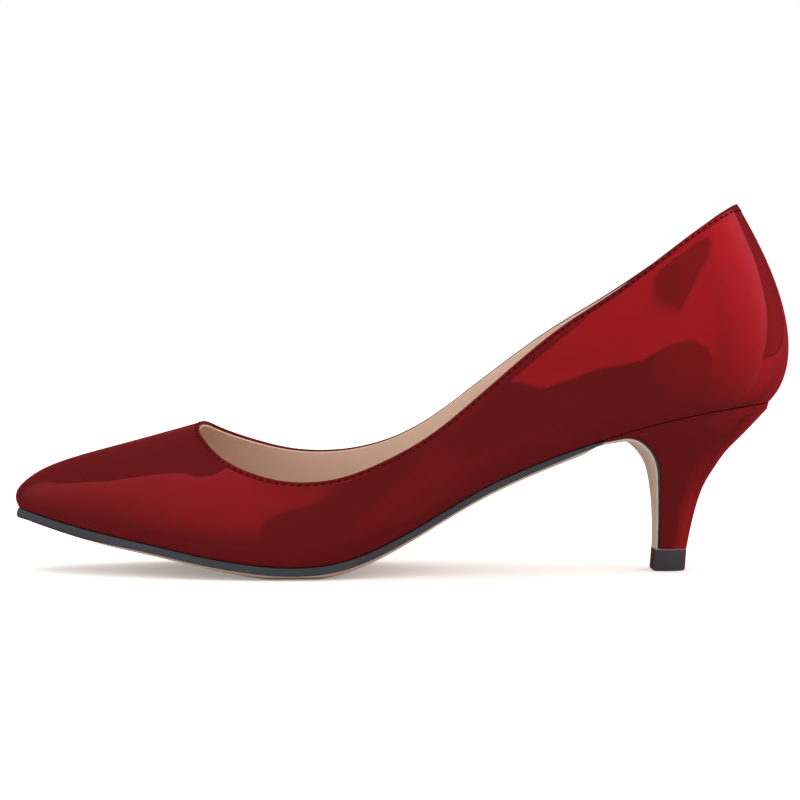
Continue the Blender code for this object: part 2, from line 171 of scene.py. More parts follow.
INNER_SECTIONS = (
    Section(0.980, 0.118, 0.7595, 0.072, 0.630, 0.105, 0.203, 0.590, 0.160, 0.0),
    Section(0.955, 0.184, 0.7550, 0.136, 0.635, 0.110, 0.208, 0.530, 0.170, 0.0),
    Section(0.910, 0.283, 0.7430, 0.217, 0.619, 0.120, 0.225, 0.430, 0.190, 0.0),
    Section(0.850, 0.376, 0.7225, 0.300, 0.594, 0.145, 0.250, 0.310, 0.230, 0.0),
    Section(0.780, 0.454, 0.6870, 0.366, 0.565, 0.170, 0.280, 0.210, 0.280, 0.0),
    Section(0.700, 0.492, 0.6390, 0.401, 0.538, 0.180, 0.300, 0.130, 0.330, 0.0),
    Section(0.620, 0.467, 0.5810, 0.409, 0.519, 0.200, 0.290, 0.080, 0.350, 0.0),
    Section(0.540, 0.388, 0.5200, 0.402, 0.488, 0.260, 0.260, 0.050, 0.350, 0.0),
    Section(0.460, 0.298, 0.4590, 0.382, 0.478, 0.320, 0.220, 0.020, 0.350, 0.0),
    Section(0.380, 0.248, 0.3770, 0.351, 0.538, 0.350, 0.200, 0.000, 0.350, 0.0),
    Section(0.300, 0.247, 0.3000, 0.322, 0.634, 0.320, 0.200, 0.020, 0.350, 0.0),
    Section(0.220, 0.285, 0.2306, 0.290, 0.708, 0.250, 0.200, 0.060, 0.380, 0.0),
    Section(0.150, 0.315, 0.1710, 0.258, 0.797, 0.170, 0.180, 0.100, 0.420, 0.0),
    Section(0.090, 0.288, 0.1245, 0.218, 0.890, 0.150, 0.165, 0.170, 0.470, 0.0),
    Section(0.050, 0.217, 0.0816, 0.145, 0.982, 0.148, 0.155, 0.250, 0.505, 0.4),
)
SECTION_LOOP = (TOE_SECTION, *OUTER_SECTIONS, BACK_SECTION, *reversed(INNER_SECTIONS), TOE_SECTION)
BACK_INDEX = len(OUTER_SECTIONS) + 1

# Outsole from the breast to the toe: thickness as a share of SOLE_THICKNESS, and how far
# the dark edge paint reaches down the side and under the bevel, in metres.
SoleRow = namedtuple("SoleRow", "foot thick paint")
SOLE_ROWS = (
    SoleRow(0.220, 0.460, 0.0006),
    SoleRow(0.260, 0.560, 0.0012),
    SoleRow(0.350, 0.720, 0.0024),
    SoleRow(0.480, 0.710, 0.0025),
    SoleRow(0.550, 0.860, 0.0025),
    SoleRow(0.600, 1.000, 0.0026),
    SoleRow(0.660, 1.000, 0.0026),
    SoleRow(0.720, 0.880, 0.0026),
    SoleRow(0.800, 0.830, 0.0028),
    SoleRow(0.860, 0.880, 0.0042),
    SoleRow(0.900, 0.850, 0.0076),
    SoleRow(1.000, 0.760, 0.0090),
)

# Heel levels from the seat down to the tip. front is the share of the shoe's length from its
# back, front_up and back_up are shares of the seat's height, and long and wide say how far
# the level's length and width still are from the tip's (0) to the seat's (1).
HeelRow = namedtuple("HeelRow", "front front_up back_up long wide")
HEEL_ROWS = (
    HeelRow(0.2360, 0.7835, 0.962, 0.986, 0.972),
    HeelRow(0.2130, 0.803, 0.886, 0.769, 0.834),
    HeelRow(0.1886, 0.763, 0.783, 0.508, 0.608),
    HeelRow(0.1751, 0.694, 0.697, 0.330, 0.447),
    HeelRow(0.1686, 0.622, 0.616, 0.224, 0.320),
    HeelRow(0.1657, 0.515, 0.515, 0.132, 0.188),
    HeelRow(0.1647, 0.393, 0.393, 0.070, 0.105),
    HeelRow(0.1645, 0.262, 0.262, 0.028, 0.039),
)

# Flap down the breast: share of the way down, thickness and reach of the dark line, in metres
FlapRow = namedtuple("FlapRow", "down thick paint")
FLAP_ROWS = (
    FlapRow(0.00, 0.0010, 0.0004),
    FlapRow(0.20, 0.0016, 0.0006),
    FlapRow(0.38, 0.0020, 0.0009),
    FlapRow(0.70, 0.0016, 0.0008),
    FlapRow(1.00, 0.0013, 0.0006),
)

# Soft ridges (+) and troughs (-) of the leather over the last. foot and side place them as in
# the sections, up is the height above the bottom line; long, wide and rise are in metres too.
Form = namedtuple("Form", "name foot side up long wide rise")
FORMS = (
    Form("toe puff", 1.000, 0.000, 0.0036, 0.0080, 0.0050, 0.00060),
    Form("toe slope", 0.990, 0.000, 0.0087, 0.0080, 0.0050, -0.00055),
    Form("cap edge ridge", 0.900, -0.120, 0.0150, 0.0050, 0.0090, 0.00005),
    Form("cap edge trough", 0.868, -0.150, 0.0170, 0.0050, 0.0090, -0.00006),
    Form("first vamp ridge", 0.815, -0.210, 0.0200, 0.0070, 0.0070, 0.00005),
    Form("first vamp trough", 0.780, -0.220, 0.0210, 0.0060, 0.0080, -0.00004),
    Form("inner vamp trough", 0.850, 0.180, 0.0170, 0.0080, 0.0090, -0.00006),
    Form("inner vamp ridge", 0.790, 0.240, 0.0200, 0.0080, 0.0080, 0.00005),
    Form("quarter front ridge", 0.400, -0.355, 0.0190, 0.0130, 0.0060, 0.00030),
    Form("quarter ridge", 0.335, -0.350, 0.0220, 0.0130, 0.0070, 0.00035),
)

# Roll of the collar's edge, outward (+) or inward (-), over a reach below the topline
RollRow = namedtuple("RollRow", "foot rise reach")
ROLL_ROWS = (
    RollRow(0.070, 0.00012, 0.0026),
    RollRow(0.140, 0.00012, 0.0026),
    RollRow(0.180, 0.00003, 0.0030),
    RollRow(0.205, -0.00006, 0.0040),
    RollRow(0.250, -0.00022, 0.0042),
    RollRow(0.330, -0.00030, 0.0050),
    RollRow(0.390, -0.00030, 0.0050),
    RollRow(0.450, 0.00000, 0.0050),
)

# Steps in the meshes. SEAM_STATIONS are places beside the back seam, in sections, SLOPE_STEP
# and TOE_RUN are in metres, and SMOOTH_ANGLE is in degrees.
SECTION_STEPS = 9
OUTLINE_STEPS = 75
WALL_SAMPLES = 240
WALL_STEPS = 40
TOP_STEPS = 14
CORNER_STEPS = 7
MARGIN_STEPS = 3
EDGE_STEPS = 5
SEAM_STATIONS = (0.012, 0.024, 0.036, 0.050, 0.070)
SLOPE_STEP = 0.0003
TOE_RUN = 0.0120
TOE_STATIONS = 24
SOLE_STATIONS = 150
FLAP_STATIONS = 70
HEEL_RINGS = 90
RING_STEPS = 44
FILLET_STEPS = 4
SMOOTH_ANGLE = 35
ARCH_STEPS = 8
THREAD_SIDES = 7

# Wall zones of the upper, in metres
FEATHER_ROUND = 0.0007
TOP_ZONE = 0.0036
EDGE_RADIUS = 0.0005
LINING_DROP = 0.00035
LINING_RADIUS = 0.0003
LINING_GAP = 0.00003
PEAK_ZONE = 0.0040
FOLD_RISE = 0.00010
GROOVE_DEPTH = 0.00014
GROOVE_WIDTH = 0.00040
SEAM_DEPTH = 0.00022
SEAM_WIDTH = 0.00035
SEAM_REACH = 0.060

# Place and width of the folded edge's swell, as shares of the stitch drop, and how many edge
# radii below the topline the wall's even rows end
FOLD_PLACE = 1 / 3
FOLD_WIDTH = 1 / 2
EDGE_CLEAR = 1.2

# Stitches, as shares of the thread's width: how far their ends sink in, and how high their
# middle is pulled up
THREAD_SINK = 0.45
THREAD_ARCH = 0.95

# Corner fillets of the harder pieces, in metres. FILLET_MOST is the share of a side that a
# fillet may take, and LIFT_EASE the share of its fillet by which the top piece is raised and
# drawn in halfway round that fillet.
SOLE_FILLET = 0.00030
LIFT_FILLET = 0.00040
SOCK_FILLET = 0.00060
SOCK_CLEARANCE = 0.00015
FILLET_MOST = 0.45
LIFT_EASE = 0.3

# Joints between dressed pieces, in metres. HEEL_RIM is how far the heel's top edge stands out
# and how high it is, HEEL_LIP how far the heel's top reaches forward over the breast,
# TIP_ROUND the rounding of the sole's tip and SKIVE_RUN the length over which the sole thins
# to the flap.
SEAM_GAP = 0.00003
HEEL_RIM = 0.00025
HEEL_LIP = 0.0012
TIP_ROUND = 0.0009
SKIVE_RUN = 0.0060

# Stations on each side of the breast's top over which the sole bends into the flap
JOINT_BLEND = 6

# Patterns of the finishes: features to the metre, layers of detail and their weight
Grain = namedtuple("Grain", "scale detail weight", defaults=(2.0, 0.5))
PATENT_CLOUD = Grain(38.0, 3.0)
PATENT_SMEAR = Grain(140.0, 4.0, 0.6)
PATENT_SWELL = Grain(95.0, 1.0)
LINING_CLOUD = Grain(55.0, 4.0, 0.6)
THREAD_TWIST = Grain(2600.0, 1.0)
PAINT_WOBBLE = Grain(220.0)
PAINT_SHEEN = Grain(60.0)
SOLE_FIBRE = Grain(160.0, 5.0, 0.65)
SOLE_GRAIN = Grain(900.0, 3.0)
RUBBER_CLOUD = Grain(130.0, 3.0)
RUBBER_GRAIN = Grain(1500.0)
LINING_PORES = 1700.0

# Darkest and lightest shade of each finish, as factors of its colour
PATENT_SHADES = (0.94, 1.06)
LINING_SHADES = (0.92, 1.08)
THREAD_SHADES = (0.70, 1.40)
SOLE_SHADES = (0.86, 1.10)
PAINT_SHADES = (0.75, 1.35)
RUBBER_SHADES = (0.85, 1.20)

# Depth of each finish's relief, in metres, and how strongly the lining's pores show
PATENT_RELIEF = 0.000035
LINING_RELIEF = 0.00004
THREAD_RELIEF = 0.00005
SOLE_RELIEF = 0.00003
RUBBER_RELIEF = 0.00003
PORE_STRENGTH = 0.5

# Roughness and gloss of the finishes. The patent's roughness follows its smears.
SMEAR_RANGE = (0.3, 0.7)
PATENT_ROUGH = (0.035, 0.070)
LINING_ROUGH = 0.62
THREAD_ROUGH = 0.55
SOLE_ROUGH = 0.58
PAINT_ROUGH = 0.38
RUBBER_ROUGH = 0.42
FLOOR_ROUGH = 0.9
PATENT_GLOSS = 0.5
LINING_GLOSS = 0.35
DULL_GLOSS = 0.05

# How far the line of the edge paint wanders, and half the width of its blur, in metres
PAINT_WANDER = 0.00012
PAINT_BLUR = 0.00008

# Painted highlight along the pale upper edge of the top piece: its colour, and how far below
# the top it starts and is full, in metres
LIFT_RIM_HIGHLIGHT = (0.230, 0.205, 0.200)
HIGHLIGHT_START = 0.00045
HIGHLIGHT_FULL = 0.00025

# Range of a noise and of a blend
ZERO_TO_ONE = (0.0, 1.0)


class PumpSizes(bpy.types.PropertyGroup):
    """Sizes of what the solids leave to the finish."""

    patent_wall: FloatProperty(
        name="Patent wall",
        description="Thickness of the patent leather with its folded edge",
        default=0.0011,
        min=0.0006,
        max=0.0016,
        unit="LENGTH",
    )
    stitch_drop: FloatProperty(
        name="Stitch drop",
        description="Distance of the stitching below the topline",
        default=0.00110,
        min=0.0008,
        max=0.0030,
        unit="LENGTH",
    )
    stitch_pitch: FloatProperty(
        name="Stitch pitch",
        description="Distance from one stitch to the next",
        default=0.0024,
        min=0.0015,
        max=0.0050,
        unit="LENGTH",
    )
    stitch_length: FloatProperty(
        name="Stitch length",
        description="Length of the thread that shows at each stitch",
        default=0.00130,
        min=0.0008,
        max=0.0030,
        unit="LENGTH",
    )
    thread_width: FloatProperty(
        name="Thread width",
        description="Diameter of the sewing thread",
        default=0.00052,
        min=0.0002,
        max=0.0010,
        unit="LENGTH",
    )


def colour_property(name, description, default):
    """A colour that a user can change."""
    return FloatVectorProperty(
        name=name,
        description=description,
        default=default,
        size=3,
        min=0.0,
        max=1.0,
        subtype="COLOR",
    )


class PumpColours(bpy.types.PropertyGroup):
    """Colours of the pump, in linear light."""

    patent: colour_property("Patent", "Red of the patent leather", (0.090, 0.0074, 0.0080))
    gloss: colour_property("Gloss", "Tint of the patent's reflections", (1.0, 0.060, 0.100))
    lining: colour_property("Lining", "Beige of the lining and the sock", (0.640, 0.478, 0.372))
    thread: colour_property("Thread", "Sewing thread", (0.040, 0.0030, 0.0050))
    edge: colour_property("Edge paint", "Painted edge of the outsole", (0.040, 0.046, 0.054))
    sole: colour_property("Sole", "Underside of the outsole", (0.520, 0.400, 0.320))
    rubber: colour_property("Rubber", "Top piece under the heel", (0.038, 0.041, 0.047))
    floor: colour_property("Floor", "Floor under the shoe", (0.930, 0.915, 0.905))


def smooth_curve(places, values, closed=False):
    """Return a function that runs a smooth cubic through the values at the places."""
    places = np.asarray(places, float)
    values = np.asarray(values, float).reshape(len(places), -1)
    steps = np.diff(places)
    slopes = np.diff(values, axis=0) / steps[:, None]
    count = len(places)
    system = np.eye(count)
    target = np.zeros_like(values)
    for i in range(0 if closed else 1, count - 1):
        before = i - 1 if i else count - 2
        system[i, i] = 2 * (steps[before] + steps[i])
        system[i, before] = steps[before]
        system[i, i + 1] += steps[i]
        target[i] = 6 * (slopes[i] - slopes[before])
    if closed:
        system[-1, 0] = -1
    bend = np.linalg.solve(system, target)

    def at(place):
        place = np.asarray(place, float)
        i = np.clip(np.searchsorted(places, place, side="right") - 1, 0, len(steps) - 1)
        step = steps[i][..., None]
        past = (place - places[i])[..., None]
        left = (places[i + 1] - place)[..., None]
        bow = (bend[i] * left**3 + bend[i + 1] * past**3) / (6 * step)
        start = (values[i] / step - bend[i] * step / 6) * left
        end = (values[i + 1] / step - bend[i + 1] * step / 6) * past
        return bow + start + end

    return at


def x_of(foot):
    """Place along the shoe of a share of its length, counted from the back."""
    return SHOE_LENGTH * (0.5 - np.asarray(foot, float))


def foot_of(x):
    """Share of the length, counted from the back, of a place along the shoe."""
    return 0.5 - np.asarray(x, float) / SHOE_LENGTH


def table_curve(rows, place, *columns):
    """Smooth curve through the named columns of a table, over its column of places."""
    places = [getattr(row, place) for row in rows]
    return smooth_curve(places, [[getattr(row, name) for name in columns] for row in rows])


BALL_HEIGHT = SOLE_THICKNESS + GLUE_GAP - BALL_FLAT
SEAT_HEIGHT = BALL_HEIGHT + SEAT_RISE
bottom_curve = table_curve(BOTTOM_LINE, "foot", "lift")
sole_curve = table_curve(SOLE_ROWS, "foot", "thick", "paint")
flap_curve = table_curve(FLAP_ROWS, "down", "thick", "paint")


def bottom(x):
    """Height of the last's underside, which is straight across the foot."""
    return BALL_HEIGHT + SEAT_RISE * bottom_curve(foot_of(x))[..., 0]


def over_bottom(x, distance):
    """Height of a surface that lies a distance off the underside, square to it."""
    slope = (bottom(x + SLOPE_STEP) - bottom(x - SLOPE_STEP)) / (2 * SLOPE_STEP)
    return bottom(x) + distance * np.sqrt(1 + slope**2)


def unit(vectors):
    """Vectors of length one."""
    return vectors / np.linalg.norm(vectors, axis=-1, keepdims=True)


def plan_normals(points):
    """Level directions that point out of a closed line, which runs from the toe down the
    outer side first."""
    run = np.roll(points, -1, axis=0) - np.roll(points, 1, axis=0)
    return unit(np.column_stack([run[:, 1], -run[:, 0], np.zeros(len(run))]))


def section_lines(spread):
    """Feather line, topline and wall leans at places around the upper, in sections."""
    feet = np.array([(x_of(row.foot), BALL_WIDTH * row.half) for row in SECTION_LOOP])
    tops = np.array([
        (x_of(row.top_at), BALL_WIDTH * row.top_half, COLLAR_RISE * row.top_rise)
        for row in SECTION_LOOP
    ])
    leans = np.array([
        (row.low_out, row.low_up, row.high_out, row.high_down, row.peak) for row in SECTION_LOOP
    ])
    foot_steps = np.linalg.norm(np.diff(feet, axis=0), axis=1)
    top_steps = np.linalg.norm(np.diff(tops, axis=0), axis=1)
    places = np.concatenate([[0.0], np.cumsum((foot_steps + top_steps) / 2)])
    curve = smooth_curve(places, np.hstack([feet, tops, leans]), closed=True)
    table = curve(np.interp(spread, np.arange(len(places)), places))
    feather = np.column_stack([table[:, 0], table[:, 1], bottom(table[:, 0])])
    topline = table[:, 2:5].copy()
    topline[:, 2] += bottom(topline[:, 0])
    return feather, topline, table[:, 5:]


class Outline:
    """The feather line moved outward by a distance, read as a width on either side."""

    def __init__(self, distance):
        spread = np.arange((len(SECTION_LOOP) - 1) * OUTLINE_STEPS) / OUTLINE_STEPS
        line = section_lines(spread)[0]
        line = line + distance * plan_normals(line)
        toe = int(np.argmin(line[:, 0]))
        line = np.roll(line, -toe, axis=0)
        back = int(np.argmax(line[:, 0]))
        self.toe_x = line[0, 0]
        self.back_x = line[back, 0]
        self.outer = line[: back + 1]
        self.inner = np.vstack([line[back:], line[:1]])[::-1]

    def sides(self, x):
        """The line's y on the outer and the inner side at x."""
        outer = np.interp(x, self.outer[:, 0], self.outer[:, 1])
        inner = np.interp(x, self.inner[:, 0], self.inner[:, 1])
        return outer, inner


def bezier(points, steps):
    """Points on curves of Bernstein form, one curve for each row of the control points."""
    t = np.linspace(0.0, 1.0, steps)[None, :, None]
    degree = len(points) - 1
    return sum(
        math.comb(degree, i) * t**i * (1 - t) ** (degree - i) * control[:, None, :]
        for i, control in enumerate(points)
    )


def wall_curves(feather, topline, leans):
    """Side curves of the upper, from the feather line up to the topline."""
    up = np.array([0.0, 0.0, 1.0])
    foot_out = plan_normals(feather)
    top_out = plan_normals(topline)
    height = np.linalg.norm(topline - feather, axis=1, keepdims=True)
    low = feather + height * (leans[:, 0:1] * foot_out + leans[:, 1:2] * up)
    high = topline + height * (leans[:, 2:3] * top_out - leans[:, 3:4] * up)
    return bezier((feather, low, high, topline), WALL_SAMPLES)


def points_along(lines, places):
    """Points at distances along many lines, one row of distances for each line."""
    hops = np.linalg.norm(np.diff(lines, axis=1), axis=2)
    runs = np.concatenate([np.zeros((len(lines), 1)), np.cumsum(hops, axis=1)], axis=1)
    result = np.empty((*places.shape, 3))
    for i, (line, run, wanted) in enumerate(zip(lines, runs, places)):
        for axis in range(3):
            result[i, :, axis] = np.interp(wanted, run, line[:, axis])
    return result


def grid_normals(grid):
    """Outward directions of a grid that is closed around the shoe."""
    around = np.roll(grid, -1, axis=0) - np.roll(grid, 1, axis=0)
    return unit(np.cross(around, np.gradient(grid, axis=1)))


def upper_spread():
    """Places around the upper, in sections, with finer steps beside the back seam."""
    even = np.arange((len(SECTION_LOOP) - 1) * SECTION_STEPS) / SECTION_STEPS
    beside = np.array(SEAM_STATIONS)
    return np.unique(np.concatenate([even, BACK_INDEX - beside, BACK_INDEX + beside]))


class UpperFace:
    """Outer face of the upper: margin, rounded feather edge and wall up to given drops
    below the topline, with each wall point's distance to the topline."""

    def __init__(self, drops):
        feather, topline, leans = section_lines(upper_spread())
        walls = wall_curves(feather, topline, leans)
        lengths = np.linalg.norm(np.diff(walls, axis=1), axis=2).sum(axis=1)[:, None]
        low = np.linspace(0.0, 1.0, WALL_STEPS + 1)[None, :]
        high = lengths - drops[None, :]
        places = np.hstack([FEATHER_ROUND + (high[:, :1] - FEATHER_ROUND) * low, high[:, 1:]])
        wall = points_along(walls, places)

        spine = np.zeros_like(feather)
        spine[:, 0] = np.clip(feather[:, 0], x_of(SPINE_TOE), x_of(SPINE_BACK))
        spine[:, 1] = SPINE_DRIFT * feather[:, 1]
        inward = spine - feather
        inward[:, 2] = 0.0
        inward = unit(inward)
        columns = []
        for distance in np.linspace(LASTING_MARGIN, FEATHER_ROUND, MARGIN_STEPS + 1):
            under = feather + distance * inward
            under[:, 2] = bottom(under[:, 0])
            columns.append(under)
        corner = bezier((columns[-1], feather, wall[:, 0]), CORNER_STEPS + 1)
        columns.extend(corner[:, i] for i in range(1, CORNER_STEPS))
        self.below = len(columns)
        self.points = np.concatenate([np.stack(columns, axis=1), wall], axis=1)
        self.normals = grid_normals(self.points)
        self.peak = leans[:, 4]
        self.drops = np.full(self.points.shape[:2], np.inf)
        self.drops[:, self.below:] = lengths - places
        self.topline = topline

    def inside(self, distance):
        """The face moved inward, with the collar's raised inner edge at the back."""
        moved = self.points - distance * self.normals
        near_edge = np.clip(1 - self.drops / PEAK_ZONE, 0.0, 1.0)
        moved[..., 2] += COLLAR_PEAK * self.peak[:, None] * near_edge
        return moved

    def press(self, amount):
        """Move the face out by an amount given for each of its points."""
        self.points = self.points + amount[..., None] * self.normals


def edge_round(outer, inner, steps):
    """Close a wall over its top edge: rows of the outer face, the edge and the inner face."""
    middle = (outer[:, -1] + inner[:, -1]) / 2
    rise = bezier((outer[:, -2], outer[:, -1], middle), steps + 1)
    fall = bezier((middle, inner[:, -1], inner[:, -2]), steps + 1)
    return np.concatenate([outer[:, :-1], rise[:, 1:], fall[:, 1:-1], inner[:, -2::-1]], axis=1)


def length_around(points):
    """Distance once around a closed line."""
    return np.linalg.norm(np.roll(points, -1, axis=0) - points, axis=1).sum()


def new_mesh(name, points, faces):
    """A smooth-shaded object of points and faces, with its faces turned outward."""
    data = bpy.data.meshes.new(name)
    data.from_pydata(points.reshape(-1, 3).tolist(), [], faces)
    mesh = bmesh.new()
    mesh.from_mesh(data)
    bmesh.ops.recalc_face_normals(mesh, faces=mesh.faces)
    mesh.to_mesh(data)
    mesh.free()
    data.shade_smooth()
    data.set_sharp_from_angle(angle=math.radians(SMOOTH_ANGLE))
    piece = bpy.data.objects.new(name, data)
    bpy.context.scene.collection.objects.link(piece)
    return piece


def grid_faces(rows, columns, around):
    """Four-sided faces of a grid whose columns close up, and its rows too where around is set."""
    index = np.arange(rows * columns).reshape(rows, columns)
    near = index if around else index[:-1]
    far = np.roll(index, -1, axis=0) if around else index[1:]
    beside_near = np.roll(near, -1, axis=1)
    beside_far = np.roll(far, -1, axis=1)
    return np.stack([near, beside_near, beside_far, far], axis=-1).reshape(-1, 4).tolist()


def ring_solid(name, rings):
    """A solid through rings of points, closed by strips across its first and last ring."""
    rings = np.asarray(rings)
    count, size = rings.shape[:2]
    faces = grid_faces(count, size, around=False)
    for first in (0, (count - 1) * size):
        for j in range((size - 1) // 2):
            corners = (j, j + 1, size - 2 - j, size - 1 - j)
            faces.append([first + corner for corner in dict.fromkeys(corners)])
    return new_mesh(name, rings, faces)


def point_value(piece, name, values):
    """Keep one number for each of the piece's points."""
    layer = piece.data.attributes.new(name, "FLOAT", "POINT")
    layer.data.foreach_set("value", np.asarray(values, np.float32).ravel())


def dress(piece, node=None, material=None):
    """Give a piece its material and hand it to the shoe's body, in place of a solid."""
    if material:
        piece.data.materials.append(material)
    if node:
        for mine, solid in zip(box_of(piece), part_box(node)):
            if (mine - solid).length > FIT_TOLERANCE:
                raise RuntimeError(f"{piece.name} doesn't fit the solid {node}")
        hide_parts(node)
    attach(piece, BODY)


def box_of(piece):
    """Lowest and highest corner of a piece."""
    points = np.array([vertex.co for vertex in piece.data.vertices])
    return Vector(points.min(axis=0)), Vector(points.max(axis=0))


def put(tree, socket, value):
    """Set a socket of a node tree to a value, or link it to another node's output."""
    if isinstance(value, bpy.types.NodeSocket):
        tree.links.new(value, socket)
    elif socket.type == "RGBA":
        socket.default_value = (*value, 1.0)
    else:
        socket.default_value = value


def add_node(tree, kind, inputs=None, **settings):
    """Add a node to a tree, with its settings and the values or links of its inputs."""
    node = tree.nodes.new(kind)
    for name, value in settings.items():
        setattr(node, name, value)
    for name, value in (inputs or {}).items():
        put(tree, node.inputs[name], value)
    return node


class Finish:
    """A node material under construction."""

    def __init__(self, name):
        self.material = bpy.data.materials.new(name)
        self.material.use_nodes = True
        self.tree = self.material.node_tree
        self.shader = self.tree.nodes["Principled BSDF"]
        self.add = partial(add_node, self.tree)
        self.place = self.add("ShaderNodeTexCoord").outputs["Object"]

    def set(self, **inputs):
        """Set the shader's inputs, named with underscores for spaces."""
        for name, value in inputs.items():
            put(self.tree, self.shader.inputs[name.replace("_", " ")], value)

    def noise(self, grain):
        """Noise of a grain."""
        inputs = {
            "Vector": self.place,
            "Scale": grain.scale,
            "Detail": grain.detail,
            "Roughness": grain.weight,
        }
        return self.add("ShaderNodeTexNoise", inputs).outputs["Fac"]

    def spread(self, value, source, target):
        """Map a value from one range to another, clamped."""
        inputs = {
            "Value": value,
            "From Min": source[0],
            "From Max": source[1],
            "To Min": target[0],
            "To Max": target[1],
        }
        return self.add("ShaderNodeMapRange", inputs).outputs["Result"]

    def mix(self, factor, first, second):
        """Blend two colours."""
        inputs = {0: factor, 6: first, 7: second}
        return self.add("ShaderNodeMix", inputs, data_type="RGBA").outputs[2]

    def clouded(self, colour, grain, shades):
        """A colour that drifts between its darkest and lightest shade."""
        dark, light = (tuple(min(1.0, part * shade) for part in colour) for shade in shades)
        return self.mix(self.noise(grain), dark, light)

    def value(self, name):
        """A number kept on the piece's points."""
        return self.add("ShaderNodeAttribute", attribute_name=name).outputs["Fac"]

    def bump(self, height, relief, strength=1.0):
        """Bump from a height between 0 and 1 that stands for a relief in metres."""
        inputs = {"Height": height, "Distance": relief, "Strength": strength}
        return self.add("ShaderNodeBump", inputs).outputs["Normal"]


def patent_finish(colours, name="red_patent"):
    """Red patent leather: a smooth lacquer over lightly grained leather."""
    finish = Finish(name)
    finish.set(
        Base_Color=finish.clouded(colours.patent, PATENT_CLOUD, PATENT_SHADES),
        Roughness=finish.spread(finish.noise(PATENT_SMEAR), SMEAR_RANGE, PATENT_ROUGH),
        Specular_Tint=colours.gloss,
        Specular_IOR_Level=PATENT_GLOSS,
        Normal=finish.bump(finish.noise(PATENT_SWELL), PATENT_RELIEF),
    )
    return finish.material


def lining_finish(colours, name="beige_lining"):
    """Matte lining leather with a fine grain."""
    finish = Finish(name)
    pores = finish.add("ShaderNodeTexVoronoi", {"Vector": finish.place, "Scale": LINING_PORES})
    finish.set(
        Base_Color=finish.clouded(colours.lining, LINING_CLOUD, LINING_SHADES),
        Roughness=LINING_ROUGH,
        Specular_IOR_Level=LINING_GLOSS,
        Normal=finish.bump(pores.outputs["Distance"], LINING_RELIEF, PORE_STRENGTH),
    )
    return finish.material


def thread_finish(colours, name="sewing_thread"):
    """Dark red twisted thread."""
    finish = Finish(name)
    finish.set(
        Base_Color=finish.clouded(colours.thread, THREAD_TWIST, THREAD_SHADES),
        Roughness=THREAD_ROUGH,
        Specular_IOR_Level=DULL_GLOSS,
        Normal=finish.bump(finish.noise(THREAD_TWIST), THREAD_RELIEF),
    )
    return finish.material


def outsole_finish(colours, name="painted_outsole"):
    """Beige underside with a dark painted edge, split by the paint_line on the points."""
    finish = Finish(name)
    wander = finish.spread(finish.noise(PAINT_WOBBLE), ZERO_TO_ONE, (-PAINT_WANDER, PAINT_WANDER))
    inputs = {0: finish.value("paint_line"), 1: wander}
    line = finish.add("ShaderNodeMath", inputs, operation="ADD").outputs[0]
    painted = finish.spread(line, (-PAINT_BLUR, PAINT_BLUR), ZERO_TO_ONE)
    leather = finish.clouded(colours.sole, SOLE_FIBRE, SOLE_SHADES)
    paint = finish.clouded(colours.edge, PAINT_SHEEN, PAINT_SHADES)
    finish.set(
        Base_Color=finish.mix(painted, leather, paint),
        Roughness=finish.spread(painted, ZERO_TO_ONE, (SOLE_ROUGH, PAINT_ROUGH)),
        Specular_IOR_Level=DULL_GLOSS,
        Normal=finish.bump(finish.noise(SOLE_GRAIN), SOLE_RELIEF),
    )
    return finish.material


def rubber_finish(colours, name="top_piece_rubber"):
    """Dark satin rubber with faint moulding grain and a painted highlight along its pale upper
    edge.
    """
    finish = Finish(name)
    height = finish.add("ShaderNodeSeparateXYZ", {"Vector": finish.place}).outputs["Z"]
    # Pale band just under the top: a painted highlight on the top piece's upper edge
    rim_highlight = finish.spread(height, (LIFT_HEIGHT - HIGHLIGHT_START, LIFT_HEIGHT - HIGHLIGHT_FULL), ZERO_TO_ONE)
    rubber = finish.clouded(colours.rubber, RUBBER_CLOUD, RUBBER_SHADES)
    finish.set(
        Base_Color=finish.mix(rim_highlight, rubber, LIFT_RIM_HIGHLIGHT),
        Roughness=RUBBER_ROUGH,
        Specular_IOR_Level=DULL_GLOSS,
        Normal=finish.bump(finish.noise(RUBBER_GRAIN), RUBBER_RELIEF),
    )
    return finish.material


def topline_drops(sizes):
    """Distances below the topline of the wall's upper rows, down to the edge itself."""
    stitch = float(sizes.stitch_drop)
    zone = np.linspace(TOP_ZONE, 0.0, TOP_STEPS + 1)
    zone = zone[zone > EDGE_RADIUS * EDGE_CLEAR]
    nearest = int(np.argmin(np.abs(zone - stitch)))
    zone[nearest] = stitch
    return np.concatenate([zone, [EDGE_RADIUS, 0.0]])


def soft_forms(points):
    """How far the ridges and troughs of the leather lift each point."""
    lift = np.zeros(points.shape[:-1])
    for form in FORMS:
        x = x_of(form.foot)
        y = BALL_WIDTH * form.side
        z = bottom(x) + form.up
        along = (points[..., 0] - x) / form.long
        across = np.hypot(points[..., 1] - y, points[..., 2] - z) / form.wide
        lift += form.rise * np.exp(-(along**2) - across**2)
    return lift


def patent_face(sizes):
    """Outer face of the patent leather, with its stitch groove, folded edge and back seam."""
    face = UpperFace(topline_drops(sizes))
    stitch = float(sizes.stitch_drop)
    groove = GROOVE_DEPTH * np.exp(-(((face.drops - stitch) / GROOVE_WIDTH) ** 2))
    fold_at = (face.drops - stitch * FOLD_PLACE) / (stitch * FOLD_WIDTH)
    fold = FOLD_RISE * np.exp(-(fold_at**2))
    at_back = face.points[..., 0] > SHOE_LENGTH / 2 - SEAM_REACH
    seam = SEAM_DEPTH * np.exp(-((face.points[..., 1] / SEAM_WIDTH) ** 2)) * at_back
    foot = foot_of(face.points[..., 0])
    feet, rises, reaches = np.array(ROLL_ROWS).T
    roll = np.interp(foot, feet, rises)
    roll *= np.exp(-((face.drops / np.interp(foot, feet, reaches)) ** 2))
    face.press(fold - groove - seam + roll + soft_forms(face.points))
    return face


